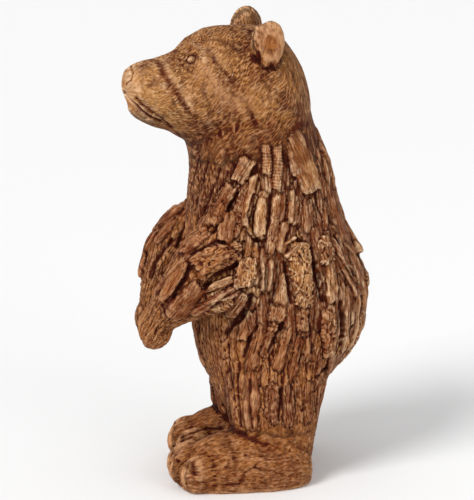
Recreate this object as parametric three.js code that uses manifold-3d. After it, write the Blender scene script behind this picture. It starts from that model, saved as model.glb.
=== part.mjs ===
// A standing bear for the garden, cast in resin as one hollow piece. Its head, paws and feet are carved
// smooth. Its body is clad with planks of driftwood, laid in courses like shingles.
// Units are millimetres. +Z is up, the bear faces -Y, and its left side is +X.
import * as THREE from "three";
import { mergeVertices } from "three/addons/utils/BufferGeometryUtils.js";
import Module from "manifold-3d";

const wasm = await Module();
wasm.setup();

// Driving sizes
const EAR_TIP_HEIGHT = 500;
const STANCE = 48; // from the middle of the body to the middle of each foot
const RING_SIDES = 18;
const LIMB_SIDES = 12;
const RING_STEP = 36; // between the rings that a body is skinned over
const PLANK_DEPTH = 6; // how far a plank is let into the body
const PLANK_BEND = 52; // length over which a plank stays straight
const RESIN = { color: 0xb07a4a, roughness: 0.72, metalness: 0 };

const X = new THREE.Vector3(1, 0, 0);
const Y = new THREE.Vector3(0, 1, 0);
const Z = new THREE.Vector3(0, 0, 1);

// Outline of the trunk from the hips to the nape, as the eye would read it off a side view
const TRUNK = [
  { at: 46, front: -18, back: 58, half: 52 },
  { at: 75, front: -34, back: 76, half: 68 },
  { at: 104, front: -44, back: 89, half: 76 },
  { at: 128, front: -53, back: 112, half: 79 },
  { at: 155, front: -62, back: 123, half: 81 },
  { at: 190, front: -69, back: 130, half: 82 },
  { at: 220, front: -72, back: 123, half: 81 },
  { at: 250, front: -72, back: 111, half: 77 },
  { at: 280, front: -68, back: 96, half: 70 },
  { at: 310, front: -66, back: 90, half: 64 },
  { at: 340, front: -62, back: 80, half: 58 },
  { at: 370, front: -54, back: 71, half: 54 },
  { at: 405, front: -40, back: 62, half: 50 },
  { at: 440, front: -24, back: 51, half: 42 },
  { at: 458, front: -6, back: 40, half: 28 },
];

// Outline of the head from the upper lip to the back of the skull
const HEAD = [
  { at: -136, top: 438, foot: 422, half: 8 },
  { at: -132, top: 446, foot: 412, half: 18 },
  { at: -122, top: 451, foot: 405, half: 25 },
  { at: -106, top: 455, foot: 398, half: 32 },
  { at: -90, top: 460, foot: 386, half: 39 },
  { at: -76, top: 470, foot: 377, half: 46 },
  { at: -60, top: 480, foot: 367, half: 53 },
  { at: -38, top: 486, foot: 356, half: 58 },
  { at: -10, top: 487, foot: 350, half: 60 },
  { at: 16, top: 481, foot: 350, half: 57 },
  { at: 38, top: 466, foot: 352, half: 50 },
  { at: 54, top: 440, foot: 360, half: 38 },
  { at: 60, top: 420, foot: 372, half: 22 },
];

// One leg's rings from the sole to the hip, as offsets from the middle of its foot
const LEG = [
  { at: 8, front: -30, back: 58, half: 33, out: 0 },
  { at: 45, front: -34, back: 66, half: 35, out: 0 },
  { at: 78, front: -37, back: 76, half: 37, out: -3 },
  { at: 110, front: -40, back: 84, half: 39, out: -7 },
  { at: 135, front: -38, back: 88, half: 36, out: -10 },
];

// A foot from the toe roots to the heel
const FOOT = [
  { at: -84, top: 24, half: 20 },
  { at: -76, top: 36, half: 31 },
  { at: -58, top: 45, half: 37 },
  { at: -30, top: 54, half: 39 },
  { at: 5, top: 60, half: 38 },
  { at: 36, top: 56, half: 35 },
  { at: 54, top: 44, half: 28 },
  { at: 61, top: 28, half: 15 },
];

// Deterministic scatter from 0 to 1, so that no two planks are cut alike
const scatter = (seed) => {
  const wave = Math.sin(seed * 12.9898 + 4.137) * 43758.5453;
  return wave - Math.floor(wave);
};

// A smooth reading of a table of stations at any place between its ends
function reader(stations) {
  const keys = Object.keys(stations[0]).filter((key) => key !== "at");
  const stops = stations.map((station) => station.at);
  const values = stations.flatMap((station) => keys.map((key) => station[key]));
  const curve = new THREE.CubicInterpolant(stops, values, keys.length);
  return (place) => {
    const row = curve.evaluate(place);
    return Object.fromEntries(keys.map((key, i) => [key, row[i]]));
  };
}

// Evenly spaced places from a table's first station to its last, about one step apart
function places(stations, step) {
  const first = stations[0].at;
  const last = stations.at(-1).at;
  const count = Math.round((last - first) / step);
  return Array.from({ length: count + 1 }, (_, i) => first + ((last - first) * i) / count);
}

// A ring of points round a centre. squareness 2 is an ellipse, and more is boxier.
function ring(centre, across, along, halfAcross, halfAlong, sides, squareness = 2.25) {
  const bow = (value) => Math.sign(value) * Math.abs(value) ** (2 / squareness);
  return Array.from({ length: sides }, (_, i) => {
    const angle = (2 * Math.PI * i) / sides;
    return centre
      .clone()
      .addScaledVector(across, halfAcross * bow(Math.cos(angle)))
      .addScaledVector(along, halfAlong * bow(Math.sin(angle)));
  });
}

// A closed skin over a row of rings, each end closed by a fan of triangles
function skin(rings) {
  const sides = rings[0].length;
  const faces = [];
  for (let r = 0; r < rings.length - 1; r++)
    for (let i = 0; i < sides; i++) {
      const a = r * sides + i;
      const b = r * sides + ((i + 1) % sides);
      faces.push(a, b, b + sides, a, b + sides, a + sides);
    }
  const last = (rings.length - 1) * sides;
  for (let i = 1; i < sides - 1; i++) {
    faces.push(0, i + 1, i);
    faces.push(last, last + i, last + i + 1);
  }
  const geometry = new THREE.BufferGeometry().setFromPoints(rings.flat());
  geometry.setIndex(faces);
  return geometry;
}

// A three.js geometry as a manifold solid, turned face out whichever way it was wound
function solid(geometry) {
  const bare = geometry.clone();
  bare.deleteAttribute("normal");
  bare.deleteAttribute("uv");
  const welded = mergeVertices(bare, 1e-3);
  const vertProperties = new Float32Array(welded.attributes.position.array);
  const triVerts = new Uint32Array(welded.index.array);
  const made = new wasm.Manifold(new wasm.Mesh({ numProp: 3, vertProperties, triVerts }));
  if (made.volume() > 0) return made;
  for (let i = 0; i < triVerts.length; i += 3) {
    [triVerts[i + 1], triVerts[i + 2]] = [triVerts[i + 2], triVerts[i + 1]];
  }
  return new wasm.Manifold(new wasm.Mesh({ numProp: 3, vertProperties, triVerts }));
}

function geometryOf(manifold) {
  const mesh = manifold.getMesh();
  const geometry = new THREE.BufferGeometry();
  geometry.setAttribute("position", new THREE.BufferAttribute(mesh.vertProperties, 3));
  geometry.setIndex(new THREE.BufferAttribute(mesh.triVerts, 1));
  geometry.computeVertexNormals();
  return geometry;
}

// An egg: a sphere with its own radius along each axis, tipped about X and set in place
function egg(centre, radii, { tip = 0, detail = 12 } = {}) {
  const geometry = new THREE.SphereGeometry(1, detail, Math.round(detail * 0.7));
  geometry.scale(...radii);
  geometry.rotateX(THREE.MathUtils.degToRad(tip));
  return geometry.translate(...centre);
}

// A rounded limb through a row of balls, each [x, y, z, radius]. Its ends are domed.
function limb(balls) {
  const path = new THREE.CatmullRomCurve3(balls.map(([x, y, z]) => new THREE.Vector3(x, y, z)));
  const radiusAt = reader(balls.map((ball, i) => ({ at: i / (balls.length - 1), radius: ball[3] })));
  const DOME = [-0.92, -0.6];
  const count = 2 * (balls.length - 1);
  const stops = [
    ...DOME.map((lean) => ({ place: 0, lean })),
    ...Array.from({ length: count + 1 }, (_, i) => ({ place: i / count, lean: 0 })),
    ...DOME.toReversed().map((lean) => ({ place: 1, lean: -lean })),
  ];
  const rings = stops.map(({ place, lean }) => {
    const along = path.getTangent(place);
    const across = new THREE.Vector3().crossVectors(along, Z).normalize();
    const third = new THREE.Vector3().crossVectors(along, across);
    const { radius } = radiusAt(place);
    const centre = path.getPoint(place).addScaledVector(along, radius * lean);
    const reach = radius * Math.sqrt(1 - lean * lean);
    return ring(centre, across, third, reach, reach, LIMB_SIDES, 2);
  });
  return solid(skin(rings));
}

function trunk() {
  const at = reader(TRUNK);
  return skin(
    places(TRUNK, RING_STEP).map((height) => {
      const { front, back, half } = at(height);
      const centre = new THREE.Vector3(0, (front + back) / 2, height);
      return ring(centre, X, Y, half, (back - front) / 2, RING_SIDES);
    }),
  );
}

function head() {
  const at = reader(HEAD);
  return skin(
    places(HEAD, RING_STEP * 0.4).map((depth) => {
      const { top, foot, half } = at(depth);
      const centre = new THREE.Vector3(0, depth, (top + foot) / 2);
      return ring(centre, X, Z, half, (top - foot) / 2, RING_SIDES, 2.15);
    }),
  );
}

function leg(side) {
  const at = reader(LEG);
  return skin(
    places(LEG, RING_STEP).map((height) => {
      const { front, back, half, out } = at(height);
      const centre = new THREE.Vector3(side * (STANCE + out), (front + back) / 2, height);
      return ring(centre, X, Y, half, (back - front) / 2, LIMB_SIDES + 2);
    }),
  );
}

// A foot with three round toes, cut flat underneath. reach sets it forward of the body.
function foot(side, reach) {
  const at = reader(FOOT);
  const pad = skin(
    places(FOOT, RING_STEP * 0.5).map((depth) => {
      const { top, half } = at(depth);
      const centre = new THREE.Vector3(side * STANCE, depth + reach, top * 0.4);
      return ring(centre, X, Z, half, top * 0.6, LIMB_SIDES + 2, 2.6);
    }),
  );
  const toes = [-25, 0, 25].map((offset) =>
    solid(
      egg(
        [side * STANCE + offset, -72 + reach - (offset === 0 ? 7 : 0), 17],
        [14.5, 24, 22],
        { tip: 8, detail: 9 },
      ),
    ),
  );
  return toes.reduce((sum, toe) => sum.add(toe), solid(pad));
}

// A round ear, dished where it faces forward and out
function ear(side) {
  const cup = solid(egg([side * 45, 8, EAR_TIP_HEIGHT - 26], [18, 13, 26], { tip: -6, detail: 12 }));
  const dish = solid(egg([side * 52, -8, EAR_TIP_HEIGHT - 23], [13, 13, 18], { detail: 12 }));
  return cup.subtract(dish);
}

function arm(side) {
  const upper = limb([
    [side * 46, -44, 272, 34],
    [side * 55, -70, 247, 29],
    [side * 46, -88, 218, 27],
    [side * 31, -102, 190, 20],
  ]);
  const fore = limb([
    [side * 64, -24, 222, 26],
    [side * 58, -58, 204, 26],
    [side * 41, -86, 187, 23],
    [side * 27, -104, 176, 19],
  ]);
  const paw = solid(egg([side * 21, -111, 174], [18.5, 20, 26], { tip: -8, detail: 10 }));
  return upper.add(fore).add(paw);
}

// One plank laid on a body, from its head at the upper end to its foot, which stands proud of the course
// below. Its path is found by looking in at the body from outside. spread is the angle it takes up round
// the body, in radians.
function plank(target, { from, to, spread, proud, seed }) {
  const bends = Math.max(1, Math.round(from.axis.distanceTo(to.axis) / PLANK_BEND));
  const caster = new THREE.Raycaster();
  const seat = (share) => {
    const start = new THREE.Vector3().lerpVectors(from.axis, to.axis, share);
    const outward = new THREE.Vector3().lerpVectors(from.outward, to.outward, share).normalize();
    caster.set(start.clone().addScaledVector(outward, 400), outward.clone().negate());
    const hit = caster.intersectObject(target)[0];
    return hit ? { point: hit.point, outward, width: spread * hit.point.distanceTo(start) } : null;
  };
  const seats = Array.from({ length: bends + 1 }, (_, i) => seat(i / bends));
  if (seats.some((found) => !found)) return null;
  const along = seats.at(-1).point.clone().sub(seats[0].point).normalize();
  const rings = seats.map(({ point, outward, width }, i) => {
    const share = i / bends;
    const normal = outward.clone().addScaledVector(along, -outward.dot(along)).normalize();
    const side = new THREE.Vector3().crossVectors(along, normal);
    const reach = (width / 2) * (1 - 0.2 * scatter(seed + 31 * i));
    const skew = (scatter(seed + 7) - 0.5) * width * 0.4 * (share * 2 - 1);
    const lift = THREE.MathUtils.lerp(1.5, proud, share);
    const corner = (across, out, slip) =>
      point
        .clone()
        .addScaledVector(side, across)
        .addScaledVector(normal, out)
        .addScaledVector(along, slip);
    return [
      corner(-reach, -PLANK_DEPTH, -skew),
      corner(reach, -PLANK_DEPTH, skew),
      corner(reach * 0.86, lift, skew),
      corner(-reach * 0.86, lift * 0.8, -skew),
    ];
  });
  return solid(skin(rings));
}

// Courses of planks from the collar to the knees. A bearing of 0 is the bear's left, and 90 its back.
const COURSES = [
  { head: 366, foot: 304, count: 12, proud: 5, from: -60, to: 240 },
  { head: 318, foot: 250, count: 12, proud: 6, from: -35, to: 215 },
  { head: 270, foot: 190, count: 13, proud: 6, from: -30, to: 210 },
  { head: 212, foot: 122, count: 13, proud: 7, from: -40, to: 220 },
  { head: 196, foot: 112, count: 4, proud: 4, from: 245, to: 295 },
  { head: 138, foot: 78, count: 13, proud: 5, from: -85, to: 265 },
];

function courses(target) {
  return COURSES.flatMap(({ head: top, foot: bottom, count, proud, from, to }, course) =>
    Array.from({ length: count }, (_, i) => {
      const seed = 100 * course + i;
      const step = (to - from) / (count - 1);
      const bearing = from + step * (i + 0.3 * scatter(seed));
      const lean = (scatter(seed + 3) - 0.5) * 16;
      const drop = (scatter(seed + 5) - 0.5) * 16;
      const aim = (degrees, height) => {
        const angle = THREE.MathUtils.degToRad(degrees);
        return {
          axis: new THREE.Vector3(0, 24, height),
          outward: new THREE.Vector3(Math.cos(angle), Math.sin(angle), 0),
        };
      };
      return plank(target, {
        from: aim(bearing, top + drop * 0.5),
        to: aim(bearing + lean, bottom + drop),
        spread: THREE.MathUtils.degToRad(step) * (0.92 + 0.3 * scatter(seed + 9)),
        proud,
        seed,
      });
    }),
  ).filter(Boolean);
}

// Short planks round each leg, above the carved foot
function legPlanks(target, side) {
  const COUNT = 8;
  const aim = (bearing, height) => {
    const angle = THREE.MathUtils.degToRad(bearing);
    return {
      axis: new THREE.Vector3(side * STANCE, 16, height),
      outward: new THREE.Vector3(side * Math.cos(angle), Math.sin(angle), 0),
    };
  };
  return Array.from({ length: COUNT }, (_, i) => {
    const seed = 900 + i + 40 * side;
    const bearing = -100 + (235 * i) / (COUNT - 1);
    return plank(target, {
      from: aim(bearing, 104),
      to: aim(bearing + 8 * (scatter(seed) - 0.5), 57 - 8 * scatter(seed + 1)),
      spread: 0.52 + 0.16 * scatter(seed + 2),
      proud: 4.5,
      seed,
    });
  }).filter(Boolean);
}

// Long planks that run down each arm to the wrist
function armPlanks(target, side) {
  const shoulder = new THREE.Vector3(side * 46, -42, 272);
  const elbow = new THREE.Vector3(side * 58, -40, 216);
  const wrist = new THREE.Vector3(side * 30, -96, 186);
  const outwards = [
    [0.55, -0.75, 0.35],
    [0.8, -0.5, 0.3],
    [1, -0.1, 0.25],
    [0.9, 0, -0.3],
  ];
  return outwards
    .map(([x, y, z], i) => {
      const outward = new THREE.Vector3(side * x, y, z).normalize();
      return plank(target, {
        from: { axis: i < 2 ? shoulder : elbow, outward },
        to: { axis: wrist, outward },
        spread: 0.85 - 0.08 * i,
        proud: 4.5,
        seed: 700 + i + 40 * side,
      });
    })
    .filter(Boolean);
}

function bear() {
  const REACH = { left: -22, right: -3 }; // the left foot stands a little ahead of the right
  const trunkSolid = solid(trunk());
  const legs = [solid(leg(1)), solid(leg(-1))];
  const feet = [foot(1, REACH.left), foot(-1, REACH.right)];
  const arms = [arm(1), arm(-1)];
  const ground = solid(new THREE.BoxGeometry(600, 600, 100).translate(0, 0, -50));

  const nose = solid(egg([0, -128, 440], [13, 9.4, 9]));
  const jaw = solid(egg([0, -105, 400], [21, 26, 13.5], { tip: -24, detail: 10 }));
  const face = [solid(head()), nose, jaw, ear(1), ear(-1)];
  for (const side of [1, -1]) {
    face.push(solid(egg([side * 32, -77, 459], [4, 4.2, 3.8], { detail: 8 })));
    face.push(solid(egg([side * 28, -70, 467], [11, 12, 7], { tip: 28, detail: 8 })));
  }

  const mesh = (manifold) => new THREE.Mesh(geometryOf(manifold));
  const body = trunkSolid.add(legs[0]).add(legs[1]);
  const cladding = [
    ...courses(mesh(body)),
    ...legPlanks(mesh(legs[0]), 1),
    ...legPlanks(mesh(legs[1]), -1),
    ...armPlanks(mesh(arms[0]), 1),
    ...armPlanks(mesh(arms[1]), -1),
  ];
  const whole = [...feet, ...arms, ...face, ...cladding].reduce((sum, part) => sum.add(part), body);
  const geometry = geometryOf(whole.subtract(ground));
  geometry.computeBoundingBox();
  const middle = geometry.boundingBox.getCenter(new THREE.Vector3());
  return geometry.translate(-middle.x, -middle.y, 0);
}

const statue = new THREE.Group();
const casting = new THREE.Mesh(bear(), new THREE.MeshStandardMaterial(RESIN));
casting.name = "bear";
statue.add(casting);

export default statue;
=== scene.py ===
# %% [markdown]
# # A resin bear in a driftwood coat
# The real statue is one hollow casting. Its master was a carved bear, with planks, chips and beetle-eaten
# slats of driftwood fixed all over its body. The cast was stained dark, wiped back and dry brushed.
# The lesson follows that order: carve a core, lay boards on it, fuse the lot into one skin, cut cracks
# and grain into the skin, and stain it. First the frame is loaded, with the box of the CAD model, which
# the statue has to fit. The bear looks along -Y, and its left side is at +X.

# %% Load the frame
import math
import time

import bpy
import numpy as np
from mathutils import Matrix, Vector
from mathutils.bvhtree import BVHTree
from mathutils.interpolate import poly_3d_calc


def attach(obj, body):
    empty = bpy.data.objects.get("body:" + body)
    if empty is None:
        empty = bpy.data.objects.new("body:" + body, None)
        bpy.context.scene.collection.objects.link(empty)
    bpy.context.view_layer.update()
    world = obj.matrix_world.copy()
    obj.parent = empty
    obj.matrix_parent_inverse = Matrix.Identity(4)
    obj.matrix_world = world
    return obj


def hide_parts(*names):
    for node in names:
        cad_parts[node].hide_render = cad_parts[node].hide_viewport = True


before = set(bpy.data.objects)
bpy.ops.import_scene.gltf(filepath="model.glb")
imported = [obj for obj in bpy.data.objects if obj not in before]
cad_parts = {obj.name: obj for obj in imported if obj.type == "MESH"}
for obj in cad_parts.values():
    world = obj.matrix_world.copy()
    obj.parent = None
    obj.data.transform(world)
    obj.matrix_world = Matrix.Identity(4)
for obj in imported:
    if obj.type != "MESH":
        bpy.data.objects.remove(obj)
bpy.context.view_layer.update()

MM = 0.001
STARTED = time.time()

# %% [markdown]
# ## Camera
# The photo shows the bear's left side from a little above, and a little in front. The camera comes first,
# because the boards are placed by pixels of the photo: a pixel becomes a ray, and the ray finds the place
# on the core where that board lies.

# %% Camera and pixel rays
PHOTO_SIZE = (474, 500)
AZIMUTH, ELEVATION, DISTANCE = math.radians(74), math.radians(13), 2.4
AIM = Vector((0, -0.0155, 0.25))
FOCAL_PIXELS = 2244.4
RAISED_PIXELS = 4.3
SENSOR = 36

back = Vector((
    math.sin(AZIMUTH) * math.cos(ELEVATION),
    -math.cos(AZIMUTH) * math.cos(ELEVATION),
    math.sin(ELEVATION),
))
right = Vector((math.cos(AZIMUTH), math.sin(AZIMUTH), 0))
up = back.cross(right)
eye_point = AIM + back * DISTANCE

bpy.ops.object.select_all(action="DESELECT")
bpy.ops.object.camera_add(location=eye_point, rotation=back.to_track_quat("Z", "Y").to_euler())
camera = bpy.context.object
camera.name = "camera"
camera.data.sensor_width = SENSOR
camera.data.lens = SENSOR * FOCAL_PIXELS / max(PHOTO_SIZE)
camera.data.shift_y = -RAISED_PIXELS / max(PHOTO_SIZE)
bpy.context.scene.camera = camera


def pixel_ray(x, y):
    """The direction from the camera through a pixel of the photo."""
    across = (x - PHOTO_SIZE[0] / 2) / FOCAL_PIXELS
    down = (y - PHOTO_SIZE[1] / 2 + RAISED_PIXELS) / FOCAL_PIXELS
    return (right * across - up * down - back).normalized()


print("Camera at", [round(v, 3) for v in eye_point], "lens", round(camera.data.lens, 1))

# %% [markdown]
# ## Core
# Trunk and head are drawn up as a modeller would: a disc is extruded from ring to ring, and each new ring
# is resized to the outline. The rings are a few millimetres inside the photo's outline, because the
# boards stand proud of them.

# %% Small helpers
def deselect():
    bpy.ops.object.select_all(action="DESELECT")


def apply_modifiers(obj):
    deselect()
    obj.select_set(True)
    bpy.context.view_layer.objects.active = obj
    for modifier in list(obj.modifiers):
        bpy.ops.object.modifier_apply(modifier=modifier.name)


def join(parts, name):
    """One object made of several, with its place in its mesh."""
    deselect()
    for part in parts:
        part.select_set(True)
    bpy.context.view_layer.objects.active = parts[0]
    bpy.ops.object.join()
    joined = bpy.context.object
    bpy.ops.object.transform_apply(location=True, rotation=True, scale=True)
    joined.name = name
    joined.data.name = name
    return joined


deselect()
print("Objects selected:", len(bpy.context.selected_objects))

# %% [markdown]
# Three shapes make the whole core: a body drawn up through rings, an egg, and a round limb. A drawn-up
# body keeps flat ends, and one level of subdivision rounds it.

# %% Body through rings
RING_SIDES = 24


def drawn_up(name, rings, upright=True, middle=0.0):
    """A closed body through rings of (place, low, high, half width), in millimetres.

    Upright rings are stacked along Z and run from front to back. The others are stacked along Y and run
    from foot to top."""

    def centre(ring):
        place, low, high, _ = ring
        half_way = (low + high) / 2
        spot = (middle, half_way, place) if upright else (middle, place, half_way)
        return Vector(spot) * MM

    def reach(ring):
        _, low, high, half = ring
        return half * MM, (high - low) / 2 * MM

    deselect()
    turn = (0, 0, 0) if upright else (math.pi / 2, 0, 0)
    bpy.ops.mesh.primitive_circle_add(
        vertices=RING_SIDES, radius=1, fill_type="NGON", location=centre(rings[0]), rotation=turn
    )
    body = bpy.context.object
    body.name = name
    body.scale = (*reach(rings[0]), 1)
    bpy.ops.object.transform_apply(location=True, rotation=True, scale=True)
    bpy.ops.object.mode_set(mode="EDIT")
    bpy.ops.mesh.select_all(action="SELECT")
    for before, ring in zip(rings, rings[1:]):
        step = centre(ring) - centre(before)
        bpy.ops.mesh.extrude_region_move(TRANSFORM_OT_translate={"value": step})
        wide, deep = (new / old for new, old in zip(reach(ring), reach(before)))
        growth = (wide, deep, 1) if upright else (wide, 1, deep)
        bpy.ops.transform.resize(value=growth, center_override=centre(ring))
    bpy.ops.mesh.select_all(action="SELECT")
    bpy.ops.mesh.normals_make_consistent(inside=False)
    bpy.ops.object.mode_set(mode="OBJECT")
    rounding = body.modifiers.new("rounding", "SUBSURF")
    rounding.levels = rounding.render_levels = 1
    apply_modifiers(body)
    return body


print("Each ring has", RING_SIDES, "sides")

# %% [markdown]
# An egg is a sphere with three radii. A limb is a curve with a round bevel, whose radius changes from
# point to point, and it is closed with a ball at each end.

# %% Egg and limb
EGG_SEGMENTS, EGG_RINGS = 32, 16


def egg(name, centre, radii, tip=0.0, yaw=0.0):
    """A sphere with its own radius along each axis, in millimetres, tipped about X and turned about Z."""
    deselect()
    bpy.ops.mesh.primitive_uv_sphere_add(
        segments=EGG_SEGMENTS, ring_count=EGG_RINGS, radius=1, location=Vector(centre) * MM
    )
    made = bpy.context.object
    made.name = name
    made.scale = Vector(radii) * MM
    made.rotation_euler = (math.radians(tip), 0, math.radians(yaw))
    bpy.ops.object.transform_apply(location=True, rotation=True, scale=True)
    return made


def limb(name, balls):
    """A round limb through points of (x, y, z, radius), in millimetres, with a ball at each end."""
    curve = bpy.data.curves.new(name, "CURVE")
    curve.dimensions = "3D"
    curve.bevel_depth = MM
    curve.bevel_resolution = 6
    curve.use_fill_caps = True
    spline = curve.splines.new("NURBS")
    spline.points.add(len(balls) - 1)
    for point, (x, y, z, radius) in zip(spline.points, balls):
        point.co = (x * MM, y * MM, z * MM, 1)
        point.radius = radius
    spline.order_u = 3
    spline.use_endpoint_u = True
    made = bpy.data.objects.new(name, curve)
    bpy.context.collection.objects.link(made)
    deselect()
    made.select_set(True)
    bpy.context.view_layer.objects.active = made
    bpy.ops.object.convert(target="MESH")
    tube = bpy.context.object
    ends = [egg(name + "_end", ball[:3], [ball[3]] * 3) for ball in (balls[0], balls[-1])]
    return join([tube, *ends], name)


print("Each egg has", EGG_SEGMENTS * EGG_RINGS, "faces")

# %% [markdown]
# The outline stations are (height, front, back, half width) for the trunk, and (depth, foot, top, half
# width) for the head.

# %% Trunk and head
TRUNK_RINGS = [
    (42, -10, 46, 50),
    (60, -22, 60, 62),
    (80, -33, 68, 70),
    (104, -45, 76, 76),
    (122, -53, 91, 79),
    (138, -59, 111, 81),
    (160, -63, 120, 82),
    (190, -65, 126, 82),
    (215, -68, 122, 81),
    (235, -70, 116, 79),
    (255, -71, 108, 76),
    (280, -71, 95, 71),
    (305, -69, 90, 66),
    (330, -67, 85, 63),
    (350, -67, 79, 61),
    (368, -73, 73, 60),
    (388, -76, 66, 58),
    (415, -50, 60, 53),
    (440, -24, 52, 42),
    (456, -6, 40, 28),
]
HEAD_RINGS = [
    (-138, 421, 439, 11),
    (-136, 413, 445, 18),
    (-129, 403, 450, 25),
    (-120, 395, 453, 30),
    (-108, 387, 455, 35),
    (-94, 380, 458, 40),
    (-82, 372, 462, 46),
    (-70, 365, 471, 51),
    (-60, 359, 483, 55),
    (-46, 355, 487, 58),
    (-28, 350, 488, 60),
    (-6, 348, 488, 61),
    (14, 348, 486, 59),
    (34, 350, 474, 53),
    (50, 358, 451, 43),
    (60, 372, 422, 27),
]

trunk = drawn_up("trunk", TRUNK_RINGS)
skull = drawn_up("skull", HEAD_RINGS, upright=False)
print("Trunk", len(trunk.data.vertices), "vertices; skull", len(skull.data.vertices))

# %% [markdown]
# ## Legs, feet and arms
# The legs are short columns under the trunk. A foot is drawn from toe to heel, with three round toes let
# into its front. The arms come forward from the shoulders, and the paws hang side by side.

# %% Legs, feet and arms
STANCE = 48
LEG_RINGS = [
    (6, -26, 52, 31),
    (30, -28, 55, 33),
    (60, -32, 60, 35),
    (90, -36, 67, 37),
    (116, -37, 73, 37),
    (140, -33, 74, 33),
    (162, -24, 62, 25),
]
SOLE_CUT = 24
FOOT_RINGS = [
    (-72, 18, 30, 17),
    (-66, 12, 38, 22),
    (-56, 6, 48, 27),
    (-38, 0, 56, 35),
    (-12, 0, 62, 39),
    (18, 0, 61, 45),
    (42, 2, 57, 43),
    (60, 6, 50, 34),
    (71, 14, 40, 25),
]
TOES = ((-25, -59, 21), (-2, -63, 23), (20, -55, 21))
TOE_RADII = (12.5, 22, 22)
# How far each side's foot, arm and leg is set along Y: 1 is the left side, -1 the right
FORWARD = {1: -20, -1: 2}
TUCK = {1: 0, -1: 6.5}
LEG_BACK = {1: 0, -1: 4}
print("Foot rings:", len(FOOT_RINGS))

# %% [markdown]
# The left foot stands 22 mm further forward than the right one, as in the photo, and the right paw hangs
# a little behind the left.

# %% Build the limbs
def cut_at_ground(part):
    """Takes away what is under the ground, and closes the cut with a flat sole."""
    deselect()
    part.select_set(True)
    bpy.context.view_layer.objects.active = part
    bpy.ops.object.mode_set(mode="EDIT")
    bpy.ops.mesh.select_all(action="SELECT")
    bpy.ops.mesh.bisect(plane_co=(0, 0, 0), plane_no=(0, 0, -1), clear_outer=True, use_fill=True)
    bpy.ops.object.mode_set(mode="OBJECT")
    return part


def foot(side):
    """A foot is drawn deeper than it is. The cut at the ground then leaves a broad flat sole."""
    rings = [
        (place + FORWARD[side], low - SOLE_CUT, high, half) for place, low, high, half in FOOT_RINGS
    ]
    pad = drawn_up("foot", rings, upright=False, middle=side * STANCE)
    toes = [
        egg("toe", (side * (STANCE + out), ahead + FORWARD[side], height), TOE_RADII, tip=12)
        for out, ahead, height in TOES
    ]
    return [cut_at_ground(part) for part in (pad, *toes)]


def arm(side):
    back_by = TUCK[side]
    upper = limb("upper_arm", [
        (side * 47, -42 + back_by, 270, 32),
        (side * 57, -70 + back_by, 250, 27),
        (side * 50, -90 + back_by, 222, 24),
        (side * 30, -103 + back_by, 190, 19),
    ])
    fore = limb("forearm", [
        (side * 66, -18 + back_by, 234, 24),
        (side * 62, -52 + back_by, 219, 24),
        (side * 46, -84 + back_by, 204, 20),
        (side * 27, -104 + back_by, 186, 17),
    ])
    paw = egg("paw", (side * 21, -111 + back_by, 173), (17.5, 18.5, 25), tip=-8)
    return [upper, fore, paw]


limbs = []
for side in (1, -1):
    rings = [(place, low + LEG_BACK[side], high, half) for place, low, high, half in LEG_RINGS]
    limbs.append(drawn_up("leg", rings, middle=side * (STANCE - 2)))
    limbs += foot(side) + arm(side)
print("Limb parts:", len(limbs))

# %% [markdown]
# ## Face
# The nose pad, lips and lower jaw are eggs let into the skull. An ear is an egg with a smaller
# one cut out of its front, so that it is a thick cup.

# %% Face and ears
def cut_out(solid, tool):
    carving = solid.modifiers.new("carving", "BOOLEAN")
    carving.operation = "DIFFERENCE"
    carving.solver = "EXACT"
    carving.object = tool
    apply_modifiers(solid)
    bpy.data.objects.remove(tool)
    return solid


def ear(side, setback, height, breadth):
    cup = egg("ear", (side * 50, setback, height), (11, breadth, 25), tip=-6, yaw=-side * 14)
    dish = egg("dish", (side * 62, setback - 3, height - 1), (4, breadth * 0.7, 17), tip=-6, yaw=-side * 14)
    return cut_out(cup, dish)


face = [
    egg("nose", (0, -128, 438), (11, 8.5, 8.5)),
    egg("jaw", (0, -106, 396), (22, 30, 12), tip=-22),
    egg("lip", (0, -117, 425), (27, 22, 17), tip=-6),
    ear(1, 5.5, 473, 15.5),
    egg("ear_flap", (47, -3, 477), (8.5, 12, 18), tip=-12),
    ear(-1, 8.5, 476, 20),
]
print("Face parts:", len(face))

# %% [markdown]
# ## One smooth core
# A voxel remesh fuses the parts into one skin, and a smooth modifier blends each joint as a carver would.
# Boards are seated on this core, so it also gets a search tree, which finds where a ray meets it.

# %% Fuse the core
CORE_VOXEL = 2.5
core = join([trunk, skull, *limbs, *face], "core")
fuse = core.modifiers.new("fuse", "REMESH")
fuse.mode = "VOXEL"
fuse.voxel_size = CORE_VOXEL * MM
blend_joints = core.modifiers.new("blend joints", "SMOOTH")
blend_joints.factor = 0.5
blend_joints.iterations = 9
apply_modifiers(core)


def points_of(mesh):
    flat = np.empty(len(mesh.vertices) * 3, dtype=np.float32)
    mesh.vertices.foreach_get("co", flat)
    return flat.reshape(-1, 3).astype(np.float64)


def write_values(mesh, name, values):
    """Keeps a number or a vector for each point as an attribute of the mesh."""
    kind, slot = ("FLOAT_VECTOR", "vector") if values.ndim > 1 else ("FLOAT", "value")
    kept = mesh.attributes.new(name, kind, "POINT")
    kept.data.foreach_set(slot, values.astype(np.float32).ravel())


def tree_of(mesh):
    corners = [v.co.copy() for v in mesh.vertices]
    return BVHTree.FromPolygons(corners, [tuple(p.vertices) for p in mesh.polygons])


core_tree = tree_of(core.data)
print("Core:", len(core.data.vertices), "vertices", round(time.time() - STARTED, 1), "s")

# %% [markdown]
# ## Noise
# Driftwood needs scatter that is the same on every run. A lattice of hashed numbers is smoothed between
# its corners, and a few octaves of it are added up.

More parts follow.
